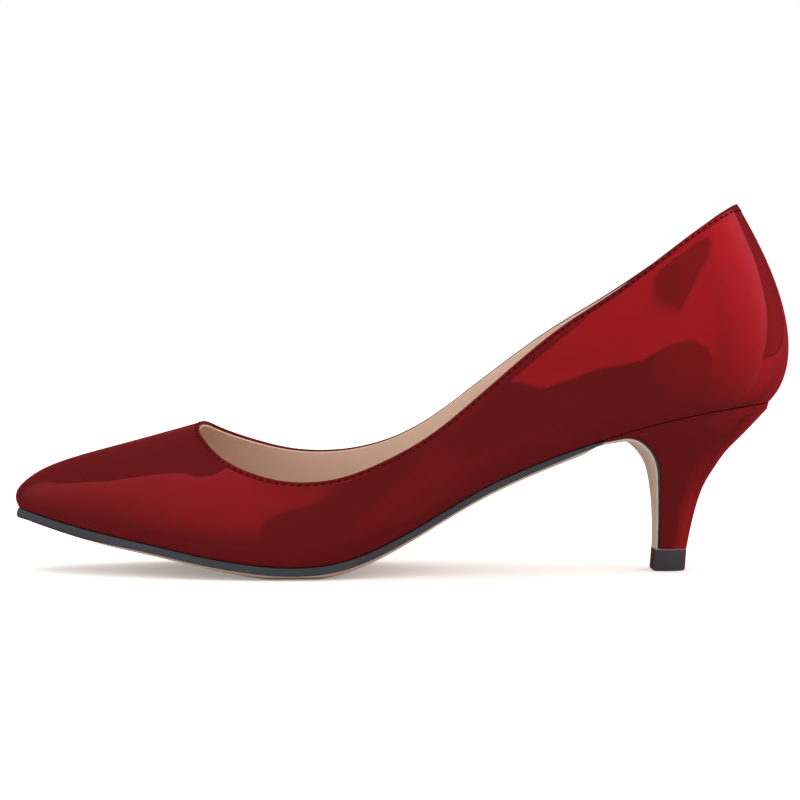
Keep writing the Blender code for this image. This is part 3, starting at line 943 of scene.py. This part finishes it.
class PUMP_OT_upper(bpy.types.Operator):
    """Make the patent upper: a hollow wall with a folded, stitched edge and a back seam"""

    bl_idname = "pump.upper"
    bl_label = "Patent upper"

    def execute(self, context):
        face = patent_face(context.scene.pump_sizes)
        inner = face.inside(float(context.scene.pump_sizes.patent_wall))
        grid = edge_round(face.points, inner, EDGE_STEPS)
        piece = new_mesh("upper_patent", grid, grid_faces(*grid.shape[:2], around=True))
        dress(piece, "upper", patent_finish(context.scene.pump_colours))
        return {"FINISHED"}


class PUMP_OT_lining(bpy.types.Operator):
    """Make the lining, which ends just under the folded edge"""

    bl_idname = "pump.lining"
    bl_label = "Lining"

    def execute(self, context):
        wall = float(context.scene.pump_sizes.patent_wall)
        face = UpperFace(np.array([TOP_ZONE, LINING_DROP + LINING_RADIUS, LINING_DROP]))
        outer = face.inside(wall + LINING_GAP)
        inner = face.inside(UPPER_WALL)
        grid = edge_round(outer, inner, EDGE_STEPS)
        piece = new_mesh("upper_lining", grid, grid_faces(*grid.shape[:2], around=True))
        dress(piece, material=lining_finish(context.scene.pump_colours))
        return {"FINISHED"}


def stitch_tree(material):
    """Geometry nodes that sew stitches along a closed path, flat to the leather."""
    tree = bpy.data.node_groups.new("stitching", "GeometryNodeTree")
    face = tree.interface
    face.new_socket("Geometry", in_out="INPUT", socket_type="NodeSocketGeometry")
    for name in ("Pitch", "Length", "Width"):
        face.new_socket(name, in_out="INPUT", socket_type="NodeSocketFloat")
    face.new_socket("Geometry", in_out="OUTPUT", socket_type="NodeSocketGeometry")
    add = partial(add_node, tree)
    given = add("NodeGroupInput").outputs

    def times(value, factor):
        return add("ShaderNodeMath", {0: value, 1: factor}, operation="MULTIPLY").outputs[0]

    def corner(across, up):
        return add("ShaderNodeCombineXYZ", {"X": across, "Z": up}).outputs[0]

    length, width = given["Length"], given["Width"]
    sunk = times(width, -THREAD_SINK)
    arch = add(
        "GeometryNodeCurveQuadraticBezier",
        {
            "Resolution": ARCH_STEPS,
            "Start": corner(times(length, -0.5), sunk),
            "Middle": corner(0.0, times(width, THREAD_ARCH)),
            "End": corner(times(length, 0.5), sunk),
        },
    )
    profile = add(
        "GeometryNodeCurvePrimitiveCircle",
        {"Resolution": THREAD_SIDES, "Radius": times(width, 0.5)},
    )
    thread = add(
        "GeometryNodeCurveToMesh",
        {"Curve": arch.outputs[0], "Profile Curve": profile.outputs[0], "Fill Caps": True},
    )
    path = add("GeometryNodeMeshToCurve", {"Mesh": given["Geometry"]})
    holes = add(
        "GeometryNodeCurveToPoints",
        {"Curve": path.outputs[0], "Length": given["Pitch"]},
        mode="LENGTH",
    )
    out = add("GeometryNodeInputNamedAttribute", {"Name": "leather_out"}, data_type="FLOAT_VECTOR")
    turn = add(
        "FunctionNodeAxesToRotation",
        {"Primary Axis": out.outputs[0], "Secondary Axis": holes.outputs["Tangent"]},
        primary_axis="Z",
        secondary_axis="X",
    )
    sewn = add(
        "GeometryNodeInstanceOnPoints",
        {
            "Points": holes.outputs["Points"],
            "Instance": thread.outputs[0],
            "Rotation": turn.outputs[0],
        },
    )
    solid = add("GeometryNodeRealizeInstances", {"Geometry": sewn.outputs[0]})
    soft = add("GeometryNodeSetShadeSmooth", {"Geometry": solid.outputs[0]})
    finished = add(
        "GeometryNodeSetMaterial", {"Geometry": soft.outputs[0], "Material": material}
    )
    add("NodeGroupOutput", {"Geometry": finished.outputs[0]})
    return tree


class PUMP_OT_stitching(bpy.types.Operator):
    """Sew one row of stitches along the topline"""

    bl_idname = "pump.stitching"
    bl_label = "Topline stitching"

    def execute(self, context):
        sizes = context.scene.pump_sizes
        face = patent_face(sizes)
        drops = topline_drops(sizes)
        row = face.below + WALL_STEPS + int(np.argmin(np.abs(drops - sizes.stitch_drop)))
        line = face.points[:, row]
        count = len(line)
        path = bpy.data.meshes.new("stitch_path")
        path.from_pydata(line.tolist(), [(i, (i + 1) % count) for i in range(count)], [])
        out = path.attributes.new("leather_out", "FLOAT_VECTOR", "POINT")
        out.data.foreach_set("vector", face.normals[:, row].astype(np.float32).ravel())
        guide = bpy.data.objects.new("stitch_path", path)
        context.scene.collection.objects.link(guide)

        whole = length_around(line)
        pitch = whole / round(whole / sizes.stitch_pitch)
        tree = stitch_tree(thread_finish(context.scene.pump_colours))
        modifier = guide.modifiers.new("stitching", "NODES")
        modifier.node_group = tree
        wanted = {"Pitch": pitch, "Length": sizes.stitch_length, "Width": sizes.thread_width}
        for item in tree.interface.items_tree:
            if item.in_out == "INPUT" and item.name in wanted:
                modifier[item.identifier] = float(wanted[item.name])

        depsgraph = context.evaluated_depsgraph_get()
        data = bpy.data.meshes.new_from_object(guide.evaluated_get(depsgraph))
        bpy.data.objects.remove(guide)
        if not data.polygons:
            raise RuntimeError("the stitching came out empty")
        data.name = "topline_stitching"
        piece = bpy.data.objects.new("topline_stitching", data)
        context.scene.collection.objects.link(piece)
        dress(piece)
        return {"FINISHED"}


class PUMP_OT_insole(bpy.types.Operator):
    """Lay the insole with its sock inside the upper"""

    bl_idname = "pump.insole"
    bl_label = "Insole"

    def execute(self, context):
        edge = Outline(-(UPPER_WALL + SOCK_CLEARANCE))
        turns = np.pi * np.arange(1, SOLE_STATIONS) / SOLE_STATIONS
        xs = edge.toe_x + (edge.back_x - edge.toe_x) * (0.5 - 0.5 * np.cos(turns))
        outer, inner = edge.sides(xs)
        low = over_bottom(xs, UPPER_WALL + GLUE_GAP)
        high = over_bottom(xs, UPPER_WALL + GLUE_GAP + INSOLE_THICKNESS)
        rings = []
        for x, a, b, base, top in zip(xs, outer, inner, low, high):
            corners = np.array([(b, top), (a, top), (a, base), (b, base)])
            ring = rounded(corners, SOCK_FILLET)
            rings.append([(x, y, z) for y, z in ring])
        piece = ring_solid("insole_sock", rings)
        sock = lining_finish(context.scene.pump_colours, "beige_sock")
        dress(piece, "insole", sock)
        return {"FINISHED"}


def rounded(corners, radius):
    """Outline with each of its corners turned into a short arc."""
    before = np.roll(corners, 1, axis=0) - corners
    after = np.roll(corners, -1, axis=0) - corners
    sides = np.minimum(np.linalg.norm(before, axis=1), np.linalg.norm(after, axis=1))
    cut = np.minimum(radius, FILLET_MOST * sides)[:, None]
    starts = corners + cut * unit(before)
    ends = corners + cut * unit(after)
    return bezier((starts, corners, ends), FILLET_STEPS).reshape(-1, 2)


def eased(rows, joint, reach):
    """Rows with a smooth bend in place of the corner where two runs of them join."""
    first, last = joint - reach, joint + reach
    ends = (rows[first], rows[joint - 1], rows[joint], rows[last])
    bend = bezier([end[None] for end in ends], 2 * reach + 1)[0]
    return np.vstack([rows[:first], bend, rows[last + 1:]])


def closed_ring(xs, outer, inner, zs):
    """Points back along the outer side and forward along the inner one."""
    near = np.column_stack([xs, outer, zs])
    far = np.column_stack([xs, inner, zs])[:-1]
    return np.vstack([near, far[::-1]])


class Seat:
    """Outline that the heel takes from the seat, cut straight across at the breast."""

    def __init__(self):
        self.outline = Outline(0.0)
        self.shares = 1 - (1 - np.linspace(0.0, 1.0, RING_STEPS + 1)) ** 2
        self.length = self.outline.back_x - x_of(SEAT_FRONT)
        self.x = x_of(SEAT_FRONT) + self.length * self.shares
        self.outer, self.inner = self.outline.sides(self.x)
        self.outer[-1] = self.inner[-1] = 0.5 * (self.outer[-1] + self.inner[-1])
        self.width = (self.inner - self.outer).max()

    def ring(self, xs, zs, narrow):
        """The outline at shares of its width, along the places xs and heights zs."""
        return closed_ring(xs, self.outer * narrow, self.inner * narrow, zs)

    def narrowing(self, levels, xs, zs):
        """Share of the seat's width at places of the heel, by their depth under the seat."""
        depths = SEAT_HEIGHT - levels.back_z
        share = np.interp(bottom(xs) - zs, depths, levels.width) / self.width
        return np.maximum(share, TIP_WIDTH / self.width)


Levels = namedtuple("Levels", "front_x front_z back_x back_z width")


def heel_levels(seat, count):
    """Evenly spaced levels of the heel from the seat down to its tip."""
    rows = [
        Levels(
            x_of(row.front),
            SEAT_HEIGHT * row.front_up,
            x_of(row.front) + TIP_LENGTH + row.long * (seat.length - TIP_LENGTH),
            SEAT_HEIGHT * row.back_up,
            TIP_WIDTH + row.wide * (seat.width - TIP_WIDTH),
        )
        for row in HEEL_ROWS
    ]
    tip = LIFT_HEIGHT + SEAM_GAP
    rows.append(Levels(x_of(TIP_FRONT), tip, x_of(TIP_FRONT) + TIP_LENGTH, tip, TIP_WIDTH))
    back = np.array([(row.back_x, row.back_z) for row in rows])
    hops = np.linalg.norm(np.diff(back, axis=0), axis=1)
    places = np.concatenate([[0.0], np.cumsum(hops)])
    return Levels(*smooth_curve(places, rows)(np.linspace(0.0, places[-1], count)).T)


class PUMP_OT_heel(bpy.types.Operator):
    """Make the heel, covered in the upper's patent leather"""

    bl_idname = "pump.heel"
    bl_label = "Covered heel"

    def execute(self, context):
        seat = Seat()
        top_x = seat.x - HEEL_LIP * (1 - seat.shares) ** 2
        top = closed_ring(top_x, *seat.outline.sides(top_x), bottom(top_x) - SEAM_GAP)
        rings = [top + HEEL_RIM * plan_normals(top), top - np.array([0.0, 0.0, HEEL_RIM])]
        levels = heel_levels(seat, HEEL_RINGS)
        for front_x, front_z, back_x, back_z, _ in zip(*levels):
            xs = front_x + (back_x - front_x) * seat.shares
            zs = front_z + (back_z - front_z) * seat.shares
            zs = np.minimum(zs, bottom(xs) - SEAM_GAP - HEEL_RIM)
            rings.append(seat.ring(xs, zs, seat.narrowing(levels, xs, zs)))
        piece = ring_solid("heel_cover", rings)
        cover = patent_finish(context.scene.pump_colours, "red_patent_heel")
        dress(piece, "heel", cover)
        return {"FINISHED"}


class PUMP_OT_top_piece(bpy.types.Operator):
    """Put the rubber top piece under the heel tip"""

    bl_idname = "pump.top_piece"
    bl_label = "Top piece"

    def execute(self, context):
        seat = Seat()
        cover = FLAP_THICKNESS + GLUE_GAP
        front = x_of(TIP_FRONT) - cover
        length = TIP_LENGTH + cover
        levels = (
            (LIFT_HEIGHT, 0.0, LIFT_FILLET / 2),
            (LIFT_HEIGHT - LIFT_FILLET / 2, 0.0, 0.0),
            (LIFT_FILLET, LIFT_SHEAR, 0.0),
            (LIFT_FILLET * LIFT_EASE, LIFT_SHEAR, LIFT_FILLET * LIFT_EASE),
            (0.0, LIFT_SHEAR, LIFT_FILLET),
        )
        rings = []
        for height, shear, inset in levels:
            xs = front - shear + inset + (length - 2 * inset) * seat.shares
            width = TIP_WIDTH + 2 * (LIFT_OVERHANG - inset)
            rings.append(seat.ring(xs, np.full_like(xs, height), width / seat.width))
        piece = ring_solid("heel_top_piece", rings)
        dress(piece, "top_lift", rubber_finish(context.scene.pump_colours))
        return {"FINISHED"}


class SoleRun:
    """Outsole from the toe to the breast and, as a flap, down the heel: at each station the
    y of its sides, the x and z of its upper and lower surface, and the reach of its paint."""

    def __init__(self):
        edge = Outline(SOLE_OVERHANG)
        toe_xs = edge.toe_x + TOE_RUN * (np.arange(1, TOE_STATIONS + 1) / TOE_STATIONS) ** 2
        rear_xs = np.linspace(toe_xs[-1], x_of(SEAT_FRONT) - FLAP_LEAD, SOLE_STATIONS)[1:]
        xs = np.concatenate([toe_xs, rear_xs])
        seat = Seat()
        levels = heel_levels(seat, FLAP_STATIONS)
        breast = np.column_stack([levels.front_x, levels.front_z])
        down = unit(np.gradient(breast, axis=0))
        narrow = seat.narrowing(levels, *breast.T)
        flap = np.column_stack([
            breast - SEAM_GAP * np.column_stack([-down[:, 1], down[:, 0]]),
            seat.outer[0] * narrow + FLAP_INSET,
            seat.inner[0] * narrow - FLAP_INSET,
        ])
        sole = np.column_stack([xs, bottom(xs) - SEAM_GAP, *edge.sides(xs)])
        table = eased(np.vstack([sole, flap]), len(xs), JOINT_BLEND)
        self.outer, self.inner = table[:, 2:].T

        thick, paint = sole_curve(foot_of(xs)).T
        flap_thick, flap_paint = flap_curve(np.linspace(0.0, 1.0, FLAP_STATIONS)).T
        skive = np.clip((xs[-1] - xs) / SKIVE_RUN, 0.0, 1.0)
        skive = skive**2 * (3 - 2 * skive)
        thick = flap_thick[0] + (SOLE_THICKNESS * thick - flap_thick[0]) * skive
        thick = np.concatenate([thick, flap_thick]) + GLUE_GAP - SEAM_GAP
        self.paint = np.concatenate([paint, flap_paint])

        path = table[:, :2]
        run = unit(np.gradient(path, axis=0))
        lower = path + np.column_stack([run[:, 1], -run[:, 0]]) * thick[:, None]
        lower[:, 1] = np.maximum(lower[:, 1], 0.0)
        from_tip = np.clip((path[:, 0] - edge.toe_x) / TIP_ROUND, 0.0, 1.0)
        nose = np.sqrt(1 - (1 - from_tip) ** 2)[:, None]
        middle = (path + lower) / 2
        self.toe_x = edge.toe_x
        self.top = middle + (path - middle) * nose
        self.low = middle + (lower - middle) * nose


def sole_section(outer, inner, deep):
    """Outline of the sole across the foot, with its bevel, as y and depth."""
    side = (1 - BEVEL_SHARE) * deep
    bevel = min(SOLE_BEVEL_WIDTH, BEVEL_MOST * (inner - outer))
    corners = np.array([
        (outer, 0.0),
        (outer, side),
        (outer + bevel, deep),
        (inner - bevel, deep),
        (inner, side),
        (inner, 0.0),
    ])
    return rounded(corners, SOLE_FILLET).T


class PUMP_OT_outsole(bpy.types.Operator):
    """Make the outsole with its painted edge, from the toe down the breast of the heel"""

    bl_idname = "pump.outsole"
    bl_label = "Outsole"

    def execute(self, context):
        sole = SoleRun()
        rings = []
        painted = []
        for a, b, top, low, reach in zip(sole.outer, sole.inner, sole.top, sole.low, sole.paint):
            deep = np.linalg.norm(low - top)
            across, down = sole_section(a, b, deep)
            share = (down / deep)[:, None]
            spots = top * (1 - share) + low * share
            rings.append(np.column_stack([spots[:, 0], across, spots[:, 1]]))
            inset = np.minimum(across - a, b - across)
            inset = np.minimum(inset, spots[:, 0] - sole.toe_x)
            painted.append(reach - down - inset)
        piece = ring_solid("outsole_leather", rings)
        point_value(piece, "paint_line", painted)
        dress(piece, "outsole", outsole_finish(context.scene.pump_colours))
        return {"FINISHED"}


# Camera and studio, in metres, with the camera's lens in millimetres
CAMERA_PLACE = (0.0, -0.700, 0.066)
CAMERA_DROP = math.radians(0.983)
CAMERA_LENS = 98.9
CAMERA_NEAR = 0.01
FLOOR_SIZE = 8.0
FLOOR_DROP = 0.0001

# Brightness of the studio's air: what the camera sees behind the shoe, what lights it, and
# what its gloss mirrors beside the cards. The floor has a light of its own for the camera.
BACKDROP_GLOW = (1.0, 1.0, 1.0)
AIR_GLOW = (1.33, 1.33, 1.33)
GLOSS_GLOW = (0.30, 0.030, 0.036)
FLOOR_GLOW = (0.25, 0.235, 0.225)

# Light cards on a dome around the shoe, which show only in its gloss. turn is the angle
# around the shoe in degrees, 0 toward the camera and 90 past the heel, low and high are the
# angles of the card's edges over the floor, and the rest is its brightness at those edges.
# CARD_STEP is the widest step of turn, CARD_FADE the width of a card's soft edge, in degrees.
# The fill card stands behind the others and shows where they leave room.
CardRow = namedtuple("CardRow", "turn low high low_glow high_glow")
CARD_RADIUS = 0.70
FILL_RADIUS = 0.71
CARD_CENTRE = (0.0, 0.0, 0.05)
CARD_STEP = 2.0
CARD_LEVELS = 8
CARD_FADE = 1.0
TOE_CARD = (
    CardRow(-112.0, -10.0, 32.0, 0.0, 0.0),
    CardRow(-95.0, -15.0, 40.0, 0.3, 2.0),
    CardRow(-90.0, -17.0, 44.5, 0.3, 2.3),
    CardRow(-85.0, -18.0, 50.0, 0.3, 2.7),
    CardRow(-80.0, -20.0, 55.0, 0.3, 2.9),
    CardRow(-76.0, -20.0, 58.0, 0.3, 3.0),
    CardRow(-70.0, -20.0, 61.0, 0.3, 3.1),
    CardRow(-64.0, -20.0, 64.0, 0.2, 3.3),
    CardRow(-50.0, -17.0, 64.5, 0.2, 3.5),
    CardRow(-40.0, -15.0, 63.0, 0.1, 3.6),
    CardRow(-30.0, -10.0, 61.0, 0.1, 3.7),
    CardRow(-20.0, -5.0, 58.0, 0.1, 3.6),
    CardRow(-15.0, -1.0, 53.0, 0.1, 3.2),
    CardRow(-13.0, 0.0, 49.0, 0.1, 2.8),
    CardRow(-12.0, 0.0, 47.0, 0.0, 0.0),
)
HEEL_CARD = (
    CardRow(3.8, 23.5, 29.0, 0.0, 0.0),
    CardRow(4.3, 22.6, 29.5, 4.0, 4.6),
    CardRow(5.0, 21.3, 30.3, 4.0, 4.6),
    CardRow(6.0, 20.8, 30.8, 4.4, 4.8),
    CardRow(7.0, 22.0, 31.3, 4.7, 5.0),
    CardRow(8.0, 23.5, 31.6, 4.8, 5.2),
    CardRow(10.0, 24.8, 31.2, 5.0, 5.3),
    CardRow(12.0, 24.8, 30.0, 5.0, 5.3),
    CardRow(14.0, 24.5, 31.4, 5.2, 5.6),
    CardRow(17.0, 23.5, 33.0, 5.2, 5.6),
    CardRow(20.0, 22.0, 34.5, 5.2, 5.6),
    CardRow(25.0, 17.0, 36.5, 4.6, 5.6),
    CardRow(28.0, 10.0, 37.5, 3.4, 5.6),
    CardRow(31.0, 0.0, 38.5, 2.2, 5.8),
    CardRow(36.0, -16.0, 40.0, 1.0, 6.4),
    CardRow(45.0, -38.0, 42.0, 0.5, 7.4),
    CardRow(60.0, -44.0, 45.0, 0.6, 8.0),
    CardRow(76.0, -46.0, 46.0, 0.7, 8.6),
    CardRow(79.0, 3.0, 46.0, 4.9, 8.4),
    CardRow(88.0, 14.0, 46.0, 5.6, 7.2),
    CardRow(97.0, 24.0, 46.0, 5.2, 6.0),
    CardRow(104.0, 31.0, 46.0, 4.0, 4.4),
    CardRow(110.0, 37.0, 46.0, 2.0, 2.0),
    CardRow(112.0, 39.0, 46.0, 0.0, 0.0),
)
STRIP_CARD = (
    CardRow(79.0, 1.0, 2.0, 1.9, 1.9),
    CardRow(88.0, 1.0, 13.0, 1.9, 1.9),
    CardRow(97.0, 1.0, 23.0, 1.8, 1.8),
    CardRow(104.0, 2.0, 30.0, 1.6, 1.6),
    CardRow(112.0, 4.0, 38.0, 1.2, 1.2),
    CardRow(125.0, 6.0, 40.0, 0.7, 0.7),
    CardRow(140.0, 11.0, 40.0, 0.4, 0.4),
    CardRow(160.0, 11.0, 35.0, 0.3, 0.3),
    CardRow(168.0, 11.0, 30.0, 0.0, 0.0),
)
LOW_CARD = (
    CardRow(77.0, -46.0, 0.0, 0.7, 5.0),
    CardRow(90.0, -46.0, 0.0, 0.7, 4.0),
    CardRow(100.0, -44.0, 0.0, 0.6, 2.9),
    CardRow(110.0, -34.0, 1.5, 0.5, 2.0),
    CardRow(120.0, -32.0, 4.0, 0.3, 1.4),
    CardRow(140.0, -30.0, 10.0, 0.3, 0.7),
    CardRow(160.0, -25.0, 10.0, 0.3, 0.4),
    CardRow(168.0, -25.0, 10.0, 0.0, 0.0),
)
FILL_CARD = (
    CardRow(3.0, 29.0, 60.0, 0.0, 0.0),
    CardRow(5.0, 29.0, 60.0, 1.6, 2.4),
    CardRow(8.5, 27.0, 60.0, 1.5, 2.6),
    CardRow(10.0, 2.0, 60.0, 0.2, 2.6),
    CardRow(11.5, 2.0, 60.0, 0.6, 2.7),
    CardRow(16.0, 0.0, 60.0, 0.7, 2.8),
    CardRow(20.0, -24.0, 60.0, 0.5, 2.8),
    CardRow(30.0, -30.0, 62.0, 0.5, 2.9),
    CardRow(60.0, -40.0, 64.0, 0.5, 2.9),
    CardRow(75.0, -40.0, 64.0, 0.5, 2.9),
)

# Tints of the cards, from the palest to the deepest
CARD_ROSE = (1.0, 0.25, 0.28)
CARD_RED = (1.0, 0.16, 0.22)
CARD_DEEP = (1.0, 0.05, 0.08)


def stage_piece(name, points, faces, material):
    """A flat or curved surface that belongs to the studio and not to the shoe."""
    data = bpy.data.meshes.new(name)
    data.from_pydata(points, [], faces)
    data.materials.append(material)
    piece = bpy.data.objects.new(name, data)
    bpy.context.scene.collection.objects.link(piece)
    return piece


def light_card(name, rows, colour, radius=CARD_RADIUS):
    """A soft-edged card of light on the dome, seen by glossy rays alone."""
    rows = np.array(rows)
    count = int(math.ceil((rows[-1, 0] - rows[0, 0]) / CARD_STEP)) + 1
    turns = np.unique(np.concatenate([rows[:, 0], np.linspace(rows[0, 0], rows[-1, 0], count)]))
    low, high, low_glow, high_glow = (np.interp(turns, rows[:, 0], rows[:, i]) for i in range(1, 5))
    share = np.linspace(0.0, 1.0, CARD_LEVELS)
    rise = low[:, None] + (high - low)[:, None] * share
    glow = low_glow[:, None] + (high_glow - low_glow)[:, None] * share
    rise = np.hstack([rise[:, :1] - CARD_FADE, rise, rise[:, -1:] + CARD_FADE])
    glow = np.pad(glow, ((0, 0), (1, 1)))
    turn = np.radians(turns)[:, None]
    rise = np.radians(rise)
    points = np.array(CARD_CENTRE) + radius * np.stack(
        [np.sin(turn) * np.cos(rise), -np.cos(turn) * np.cos(rise), np.sin(rise)], axis=-1
    )
    columns = points.shape[1]
    index = np.arange(points.shape[0] * columns).reshape(-1, columns)
    corners = (index[:-1, :-1], index[1:, :-1], index[1:, 1:], index[:-1, 1:])
    faces = np.stack(corners, axis=-1).reshape(-1, 4)

    paper = Finish(name)
    paper.tree.nodes.remove(paper.shader)
    lit = paper.add("ShaderNodeEmission", {"Color": colour, "Strength": paper.value("glow")})
    put(paper.tree, paper.tree.nodes["Material Output"].inputs["Surface"], lit.outputs[0])
    card = stage_piece(name, points.reshape(-1, 3).tolist(), faces.tolist(), paper.material)
    point_value(card, "glow", glow)
    card.visible_camera = False
    card.visible_diffuse = False
    card.visible_transmission = False
    card.visible_volume_scatter = False
    card.visible_shadow = False
    return card


def studio_air():
    """A world that is white behind the shoe, lights it evenly and is dim in its gloss."""
    world = bpy.data.worlds.new("studio_air")
    world.use_nodes = True
    tree = world.node_tree
    tree.nodes.clear()
    add = partial(add_node, tree)
    rays = add("ShaderNodeLightPath").outputs
    shader = add("ShaderNodeBackground", {"Color": AIR_GLOW}).outputs[0]
    for kind, colour in (("Is Glossy Ray", GLOSS_GLOW), ("Is Camera Ray", BACKDROP_GLOW)):
        air = add("ShaderNodeBackground", {"Color": colour}).outputs[0]
        shader = add("ShaderNodeMixShader", {0: rays[kind], 1: shader, 2: air}).outputs[0]
    add("ShaderNodeOutputWorld", {"Surface": shader})
    return world


class PUMP_OT_stage(bpy.types.Operator):
    """Set up the pale floor, the soft lights and the camera"""

    bl_idname = "pump.stage"
    bl_label = "Studio"

    def execute(self, context):
        scene = context.scene
        paint = Finish("pale_floor")
        paint.set(
            Base_Color=scene.pump_colours.floor,
            Roughness=FLOOR_ROUGH,
            Specular_IOR_Level=0.0,
            Emission_Color=FLOOR_GLOW,
            Emission_Strength=paint.add("ShaderNodeLightPath").outputs["Is Camera Ray"],
        )
        half = FLOOR_SIZE / 2
        ends = ((-half, -half), (half, -half), (half, half), (-half, half))
        corners = [(x, y, -FLOOR_DROP) for x, y in ends]
        floor = stage_piece("studio_floor", corners, [(0, 1, 2, 3)], paint.material)
        floor.visible_glossy = False
        light_card("toe_card", TOE_CARD, CARD_ROSE)
        light_card("heel_card", HEEL_CARD, CARD_RED)
        light_card("strip_card", STRIP_CARD, CARD_DEEP)
        light_card("low_card", LOW_CARD, CARD_DEEP)
        light_card("fill_card", FILL_CARD, CARD_RED, FILL_RADIUS)
        scene.world = studio_air()

        camera = bpy.data.cameras.new("photo_camera")
        camera.lens = CAMERA_LENS
        camera.clip_start = CAMERA_NEAR
        eye = bpy.data.objects.new("photo_camera", camera)
        eye.location = CAMERA_PLACE
        eye.rotation_euler = (math.pi / 2 - CAMERA_DROP, 0.0, 0.0)
        scene.collection.objects.link(eye)
        scene.camera = eye
        scene.view_settings.view_transform = "Standard"
        return {"FINISHED"}


OPERATORS = (
    PUMP_OT_upper,
    PUMP_OT_lining,
    PUMP_OT_stitching,
    PUMP_OT_insole,
    PUMP_OT_outsole,
    PUMP_OT_heel,
    PUMP_OT_top_piece,
    PUMP_OT_stage,
)


class PUMP_PT_panel(bpy.types.Panel):
    """Sizes, colours and pieces of the pump"""

    bl_idname = "PUMP_PT_panel"
    bl_label = "Kitten Heel Pump"
    bl_space_type = "VIEW_3D"
    bl_region_type = "UI"
    bl_category = "Pump"

    def draw(self, context):
        layout = self.layout
        for group in (context.scene.pump_sizes, context.scene.pump_colours):
            column = layout.column(align=True)
            for name in group.__annotations__:
                column.prop(group, name)
        for operator in OPERATORS:
            layout.operator(operator.bl_idname)


CLASSES = (PumpSizes, PumpColours, *OPERATORS, PUMP_PT_panel)


def register():
    """Make the pump's settings, operators and panel known to Blender."""
    for each in CLASSES:
        bpy.utils.register_class(each)
    bpy.types.Scene.pump_sizes = PointerProperty(type=PumpSizes)
    bpy.types.Scene.pump_colours = PointerProperty(type=PumpColours)


def unregister():
    """Take the pump's settings, operators and panel out again."""
    del bpy.types.Scene.pump_colours
    del bpy.types.Scene.pump_sizes
    for each in reversed(CLASSES):
        bpy.utils.unregister_class(each)


def main():
    """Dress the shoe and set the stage."""
    register()
    bpy.ops.pump.upper()
    bpy.ops.pump.lining()
    bpy.ops.pump.stitching()
    bpy.ops.pump.insole()
    bpy.ops.pump.outsole()
    bpy.ops.pump.heel()
    bpy.ops.pump.top_piece()
    bpy.ops.pump.stage()


if __name__ == "__main__":
    main()
